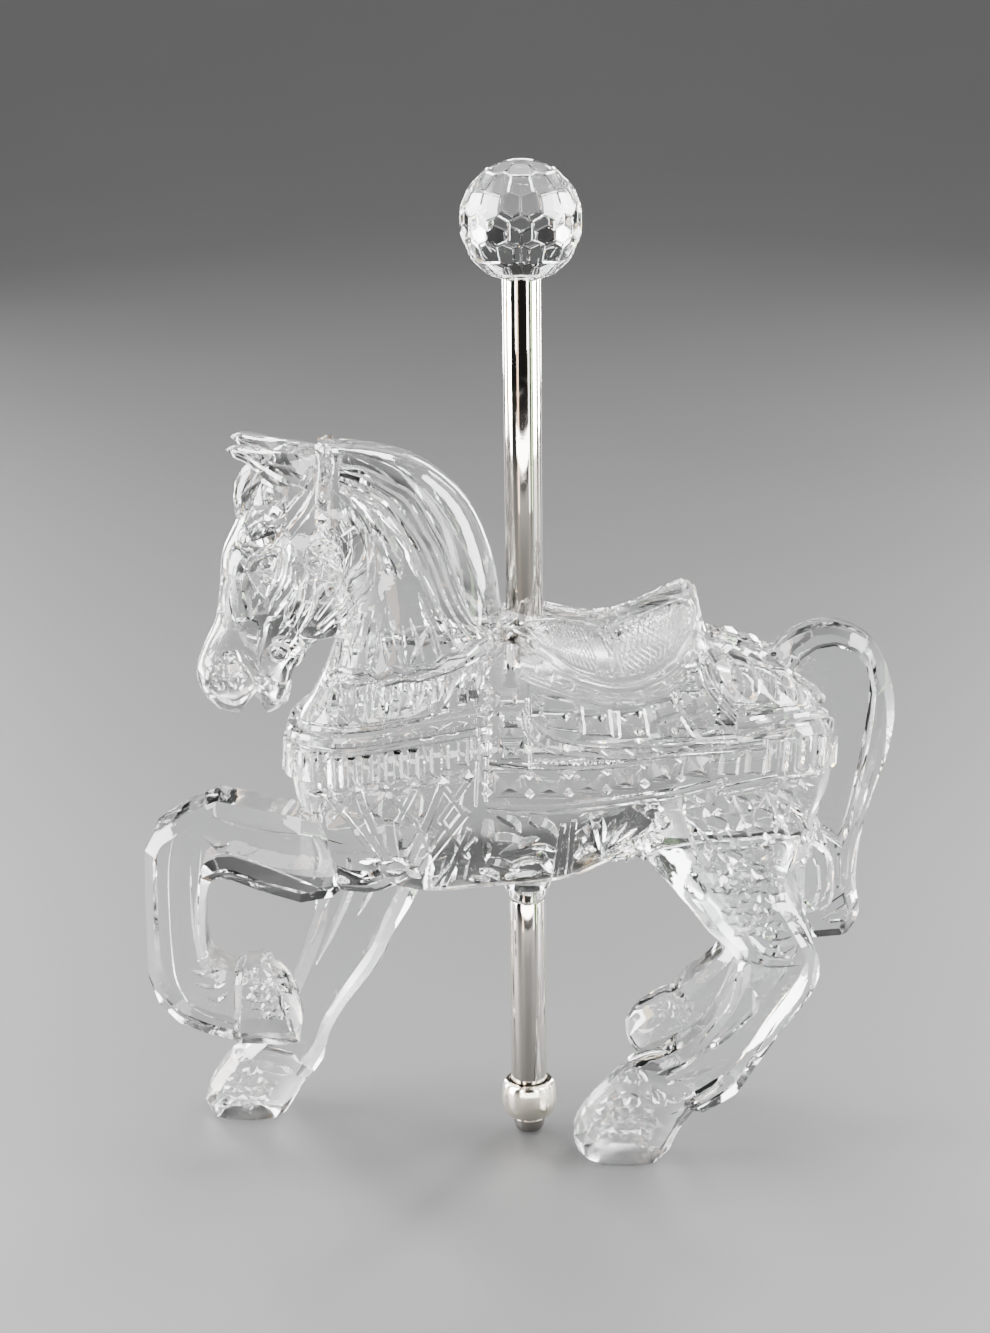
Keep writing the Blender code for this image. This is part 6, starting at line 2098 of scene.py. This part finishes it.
@dataclass(frozen=True)
class ClearAcrylic(Finish):
    """Clear polished acrylic with a faint cool tint, mould ripple and handling marks."""

    name: str = "clear_acrylic"
    roughness: float = 0.012
    smudged: float = 0.05
    ior: float = 1.49
    tint: Point = (0.955, 0.968, 0.975)
    clearest: Point = (0.985, 0.99, 0.992)
    ripple_depth: float = 0.07 * MM
    wave_size: float = 160.0
    frost: float = 0.20
    # middle and radius in millimetres: the caned seat, the muzzle, the hooves and the low haunch
    frosted: tuple[tuple[Point, float], ...] = (
        ((4.0, -17.0, 118.0), 9.0), ((14.0, -18.0, 116.0), 10.0), ((25.0, -18.0, 118.0), 10.0),
        ((33.0, -15.0, 124.0), 8.0), ((-62.0, 0.0, 108.0), 9.0), ((20.6, -11.2, 7.0), 12.0),
        ((-57.0, -12.0, 31.0), 8.0), ((-66.0, 12.0, 8.0), 11.0), ((46.0, -9.0, 56.0), 12.0),
        ((30.0, 12.0, 19.0), 8.0),
    )

    def material(self) -> bpy.types.Material:
        """Make the material."""
        material, bench, shader, place = self.start()
        shader.inputs["Metallic"].default_value = 0.0
        shader.inputs["Transmission Weight"].default_value = 1.0
        marks = self.grouped(bench, self.marks, place, smudge_size=110.0, hairline=0.5)
        ripple = self.grouped(bench, self.ripple, place, wave_size=self.wave_size, fine_share=0.2)
        tone = bench.between(ripple["Cloud"], 0.35, 0.65)
        bench.plug(shader.inputs["Base Color"], bench.blend(tone, self.tint, self.clearest))
        rough = self.polish(bench, marks["Smudge"])
        frost = 0.0
        for middle, radius in self.frosted:
            near = bench.add("ShaderNodeVectorMath", operation="DISTANCE")
            bench.plug(near.inputs[0], place)
            near.inputs[1].default_value = [value * MM for value in middle]
            patch = bench.between(near.outputs["Value"], 0.7 * radius * MM, radius * MM, 1.0, 0.0)
            frost = bench.maths("MAXIMUM", patch, frost)
        bench.plug(shader.inputs["Roughness"], bench.maths("MULTIPLY_ADD", frost, self.frost, rough))
        self.bumped(bench, shader, ((ripple["Height"], self.ripple_depth), (marks["Height"], 0.004 * MM)))
        return material


@dataclass(frozen=True)
class Chrome(Finish):
    """Bright plating with the long faint lines of the rod's drawing in its bump, and long warm streaks
    painted into its colour as reflections.
    """

    name: str = "chrome"
    roughness: float = 0.05
    smudged: float = 0.12
    colour: Point = (0.43, 0.415, 0.39)
    # painted reflection: the warm tint of the streaks along the rod
    warm: Point = (0.42, 0.38, 0.335)

    def material(self) -> bpy.types.Material:
        """Make the material."""
        material, bench, shader, place = self.start()
        shader.inputs["Metallic"].default_value = 1.0
        marks = self.grouped(bench, self.marks, place, smudge_size=140.0, hairline=1.0)
        # the same long streaks give the draw lines in the bump and painted warm reflections in the colour
        draw_lines_and_painted_streaks = bench.noise(bench.stretched(place, (1500.0, 1500.0, 6.0)), 1.0, 2.0)
        tone = bench.between(draw_lines_and_painted_streaks, 0.35, 0.7)
        bench.plug(shader.inputs["Base Color"], bench.blend(tone, self.colour, self.warm))
        bench.plug(shader.inputs["Roughness"], self.polish(bench, marks["Smudge"]))
        self.bumped(bench, shader, ((draw_lines_and_painted_streaks, 0.003 * MM), (marks["Height"], 0.002 * MM)))
        return material


@dataclass(frozen=True)
class PaleNickel(Finish):
    """Pale warm plating over a turned bead, with fine turning rings and painted shade that darkens the domed
    foot below the groove.
    """

    name: str = "pale_nickel"
    roughness: float = 0.12
    smudged: float = 0.14
    colour: Point = (0.80, 0.745, 0.63)
    worn: Point = (0.70, 0.66, 0.58)
    ring_pitch: float = 0.16 * MM
    # painted shade: the colour of the darkened domed foot
    painted_foot_shade: Point = (0.26, 0.25, 0.235)
    foot_top: float = 3.2 * MM

    def material(self) -> bpy.types.Material:
        """Make the material."""
        material, bench, shader, place = self.start()
        shader.inputs["Metallic"].default_value = 1.0
        marks = self.grouped(bench, self.marks, place, smudge_size=260.0, hairline=1.0)
        ripple = self.grouped(bench, self.ripple, place, wave_size=300.0, fine_share=0.4)
        parts = bench.add("ShaderNodeSeparateXYZ")
        bench.plug(parts.inputs["Vector"], place)
        rings = bench.maths("MULTIPLY", parts.outputs["Z"], FULL_TURN / self.ring_pitch)
        turned = bench.maths("SINE", rings)
        plating = bench.blend(bench.between(ripple["Cloud"], 0.4, 0.65), self.colour, self.worn)
        # painted shade: the foot is dark up to a little below foot_top and fades out at it
        foot = bench.between(parts.outputs["Z"], self.foot_top - 0.4 * MM, self.foot_top, 1.0, 0.0)
        bench.plug(shader.inputs["Base Color"], bench.blend(foot, plating, self.painted_foot_shade))
        bench.plug(shader.inputs["Roughness"], self.polish(bench, marks["Smudge"]))
        self.bumped(bench, shader, ((turned, 0.002 * MM), (marks["Height"], 0.003 * MM)))
        return material


@dataclass(frozen=True)
class GlowingBoard(Finish):
    """The plain floor with the faintest mottle, nearly black itself and pale by a painted glow: a pool of
    light under and behind the horse, in place of light through the acrylic, with painted shade at the sides,
    in front and high on the sweep.
    """

    name: str = "pale_floor"
    roughness: float = 0.6
    colour: Point = (0.010, 0.010, 0.0102)
    other: Point = (0.009, 0.009, 0.0091)
    # painted light: the floor glows with the lit colour in the pool and with the unlit colour, as painted
    # shade, elsewhere
    lit: Point = (1.0, 1.0, 1.0)
    unlit: Point = (0.12, 0.12, 0.12)
    glow: float = 0.09
    field: tuple[float, float] = (0.12, 0.30)
    field_spread: float = 0.17
    field_front: tuple[float, float] = (0.05, 0.22)
    field_top: tuple[float, float] = (0.7, 1.2)

    def material(self) -> bpy.types.Material:
        """Make the material."""
        material, bench, shader, place = self.start()
        ripple = self.grouped(bench, self.ripple, place, wave_size=9.0, fine_share=0.3)
        tone = bench.between(ripple["Cloud"], 0.3, 0.7)
        bench.plug(shader.inputs["Base Color"], bench.blend(tone, self.colour, self.other))
        shader.inputs["Roughness"].default_value = self.roughness
        parts = bench.add("ShaderNodeSeparateXYZ")
        bench.plug(parts.inputs["Vector"], place)
        # painted light: a pool of glow under and behind the horse, dimmed as painted shade towards the sides,
        # the front and the top of the sweep
        aside = bench.maths("ABSOLUTE", parts.outputs["X"])
        aside = bench.maths("MULTIPLY_ADD", parts.outputs["Y"], -self.field_spread, aside)
        shade = bench.between(aside, *self.field)
        front = bench.maths("MULTIPLY", parts.outputs["Y"], -1.0)
        shade = bench.maths("MAXIMUM", shade, bench.between(front, *self.field_front))
        shade = bench.maths("MAXIMUM", shade, bench.between(parts.outputs["Z"], *self.field_top))
        bench.plug(shader.inputs["Emission Color"], bench.blend(shade, self.lit, self.unlit))
        shader.inputs["Emission Strength"].default_value = self.glow
        return material


@dataclass(frozen=True)
class SoftLight:
    """One soft panel of light.

    Attributes:
        name: Its name.
        place: Where it hangs.
        size: Its width and height.
        power: Its power in watts.
        colour: The colour of its light.
    """

    name: str
    place: Point
    size: tuple[float, float]
    power: float
    colour: Point = (1.0, 1.0, 1.0)

    def hang(self, target: Point) -> None:
        """Hang the light and turn it to the target."""
        panel = bpy.data.lights.new(self.name, "AREA")
        panel.shape = "RECTANGLE"
        panel.size, panel.size_y = self.size
        panel.energy = self.power
        panel.color = self.colour
        lamp = bpy.data.objects.new(self.name, panel)
        bpy.context.scene.collection.objects.link(lamp)
        lamp.location = self.place
        lamp.rotation_euler = (Vector(target) - Vector(self.place)).to_track_quat("-Z", "Y").to_euler()


@dataclass(frozen=True)
class Studio:
    """The plain pale floor that sweeps up behind, the soft lights and the camera at the photo's angle."""

    floor_reach: float = 3.0
    sweep_start: float = 1.1
    sweep_radius: float = 0.9
    sweep_top: float = 2.6
    drop: float = 0.4 * MM
    world: Point = (0.03, 0.0305, 0.031)
    target: Point = (0.0, 0.0, 0.11)
    distance: float = 621.8 * MM
    eye_height: float = 319.9 * MM
    down: float = 18.5
    roll: float = 0.55
    focal_share: float = 3000.0 / 1333.0
    sensor: float = 36.0
    shift: float = -30.0 / 1333.0
    lights: tuple[SoftLight, ...] = (
        SoftLight("left_wall", (-0.62, -0.12, 0.30), (0.28, 0.9), 56.0),
        SoftLight("right_wall", (0.62, -0.12, 0.30), (0.28, 0.9), 56.0),
        SoftLight("left_far", (-0.66, 0.30, 0.30), (0.16, 0.9), 34.0),
        SoftLight("right_far", (0.66, 0.30, 0.30), (0.16, 0.9), 34.0),
        SoftLight("back_left", (-0.50, 0.80, 0.36), (0.16, 1.1), 28.0),
        SoftLight("back_right", (0.50, 0.80, 0.36), (0.16, 1.1), 28.0),
        SoftLight("top_panel", (0.0, 0.05, 0.80), (0.5, 0.22), 34.0),
        SoftLight("front_low", (0.0, -0.52, 0.05), (0.8, 0.05), 3.5),
        SoftLight("front_left", (-0.34, -0.50, 0.42), (0.10, 0.5), 3.5),
        SoftLight("front_right", (0.34, -0.50, 0.42), (0.10, 0.5), 3.5),
        SoftLight("gold_strip", (-0.48, 0.14, 0.20), (0.05, 0.5), 1.6, (1.0, 0.72, 0.36)),
        SoftLight("warm_strip", (-0.17, -0.34, 0.17), (0.06, 0.34), 0.5, (1.0, 0.70, 0.50)),
        SoftLight("pale_strip", (0.24, -0.30, 0.17), (0.05, 0.34), 0.6),
        SoftLight("green_strip", (0.33, -0.22, 0.17), (0.03, 0.34), 0.3, (0.66, 1.0, 0.5)),
        SoftLight("sweep_light", (0.0, 0.9, 1.6), (2.4, 0.6), 20.0),
    )

    def build_floor(self, material: bpy.types.Material) -> None:
        """Lay the floor, with its soft sweep up behind."""
        bm = bmesh.new()
        steps = 24
        profile = [(-self.floor_reach, 0.0), (self.sweep_start, 0.0)]
        for i in range(1, steps + 1):
            angle = 0.5 * math.pi * i / steps
            rise = self.sweep_radius * (1.0 - math.cos(angle))
            profile.append((self.sweep_start + self.sweep_radius * math.sin(angle), rise))
        profile.append((self.sweep_start + self.sweep_radius, self.sweep_top))
        verts = [bm.verts.new((-self.floor_reach, y, z - self.drop)) for y, z in profile]
        edges = [bm.edges.new(pair) for pair in zip(verts, verts[1:])]
        grown = bmesh.ops.extrude_edge_only(bm, edges=edges)
        moved = [part for part in grown["geom"] if isinstance(part, bmesh.types.BMVert)]
        bmesh.ops.translate(bm, vec=(2.0 * self.floor_reach, 0.0, 0.0), verts=moved)
        bmesh.ops.recalc_face_normals(bm, faces=bm.faces)
        floor = object_of(bm, "pale_floor")
        floor.data.shade_smooth()
        floor.data.materials.append(material)

    def light_up(self) -> None:
        """Hang the lights and set the dim room around them."""
        for light in self.lights:
            light.hang(self.target)
        room = bpy.data.worlds.new("room")
        room.use_nodes = True
        room.node_tree.nodes["Background"].inputs["Color"].default_value = (*self.world, 1.0)
        bpy.context.scene.world = room

    def set_camera(self) -> None:
        """Set the camera to the photo's height, angle and field."""
        lens = bpy.data.cameras.new("camera")
        lens.sensor_fit = "VERTICAL"
        lens.sensor_height = self.sensor
        lens.lens = self.focal_share * self.sensor
        lens.shift_x = self.shift
        lens.clip_start, lens.clip_end = 0.01, 50.0
        down, roll = math.radians(self.down), math.radians(self.roll)
        ahead = Vector((0.0, math.cos(down), -math.sin(down)))
        right = Vector((1.0, 0.0, 0.0))
        up = right.cross(ahead)
        columns = (
            right * math.cos(roll) - up * math.sin(roll), up * math.cos(roll) + right * math.sin(roll),
            -ahead,
            Vector((0.0, -self.distance, self.eye_height)),
        )
        camera = bpy.data.objects.new("camera", lens)
        bpy.context.scene.collection.objects.link(camera)
        rows = [[column[row] for column in columns] for row in range(3)]
        camera.matrix_world = Matrix([*rows, (0.0, 0.0, 0.0, 1.0)])
        bpy.context.scene.camera = camera


def dress(piece: Piece, material: bpy.types.Material, slot: str, *nodes: str) -> None:
    """Give a piece its finish and put it in the place of its CAD nodes."""
    piece.data.materials.clear()
    piece.data.materials.append(material)
    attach(piece, BODY)
    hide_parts(*nodes)
    log.info("%s: %d faces", piece.name, len(piece.data.polygons))


def main() -> None:
    """Build, dress and light the figurine."""
    logging.basicConfig(level=logging.INFO, format="%(message)s")
    studio = Studio()
    studio.set_camera()
    studio.light_up()
    shared = {"marks": handling_group(), "ripple": ripple_group()}
    studio.build_floor(GlowingBoard(**shared).material())
    acrylic = ClearAcrylic(**shared).material()
    chrome = Chrome(**shared).material()
    nickel = PaleNickel(**shared).material()
    upper, lower = ChromeRods().build()
    dress(upper, chrome, "chrome", "pole_upper")
    dress(lower, chrome, "chrome", "pole_lower")
    dress(CutBall().build(), acrylic, "clear_acrylic", "ball_finial")
    dress(TurnedBead().build(), nickel, "pale_nickel", "end_bead")
    dress(CarvedHorse().build(), acrylic, "clear_acrylic", "horse")
    bpy.context.view_layer.update()


if __name__ == "__main__":
    main()
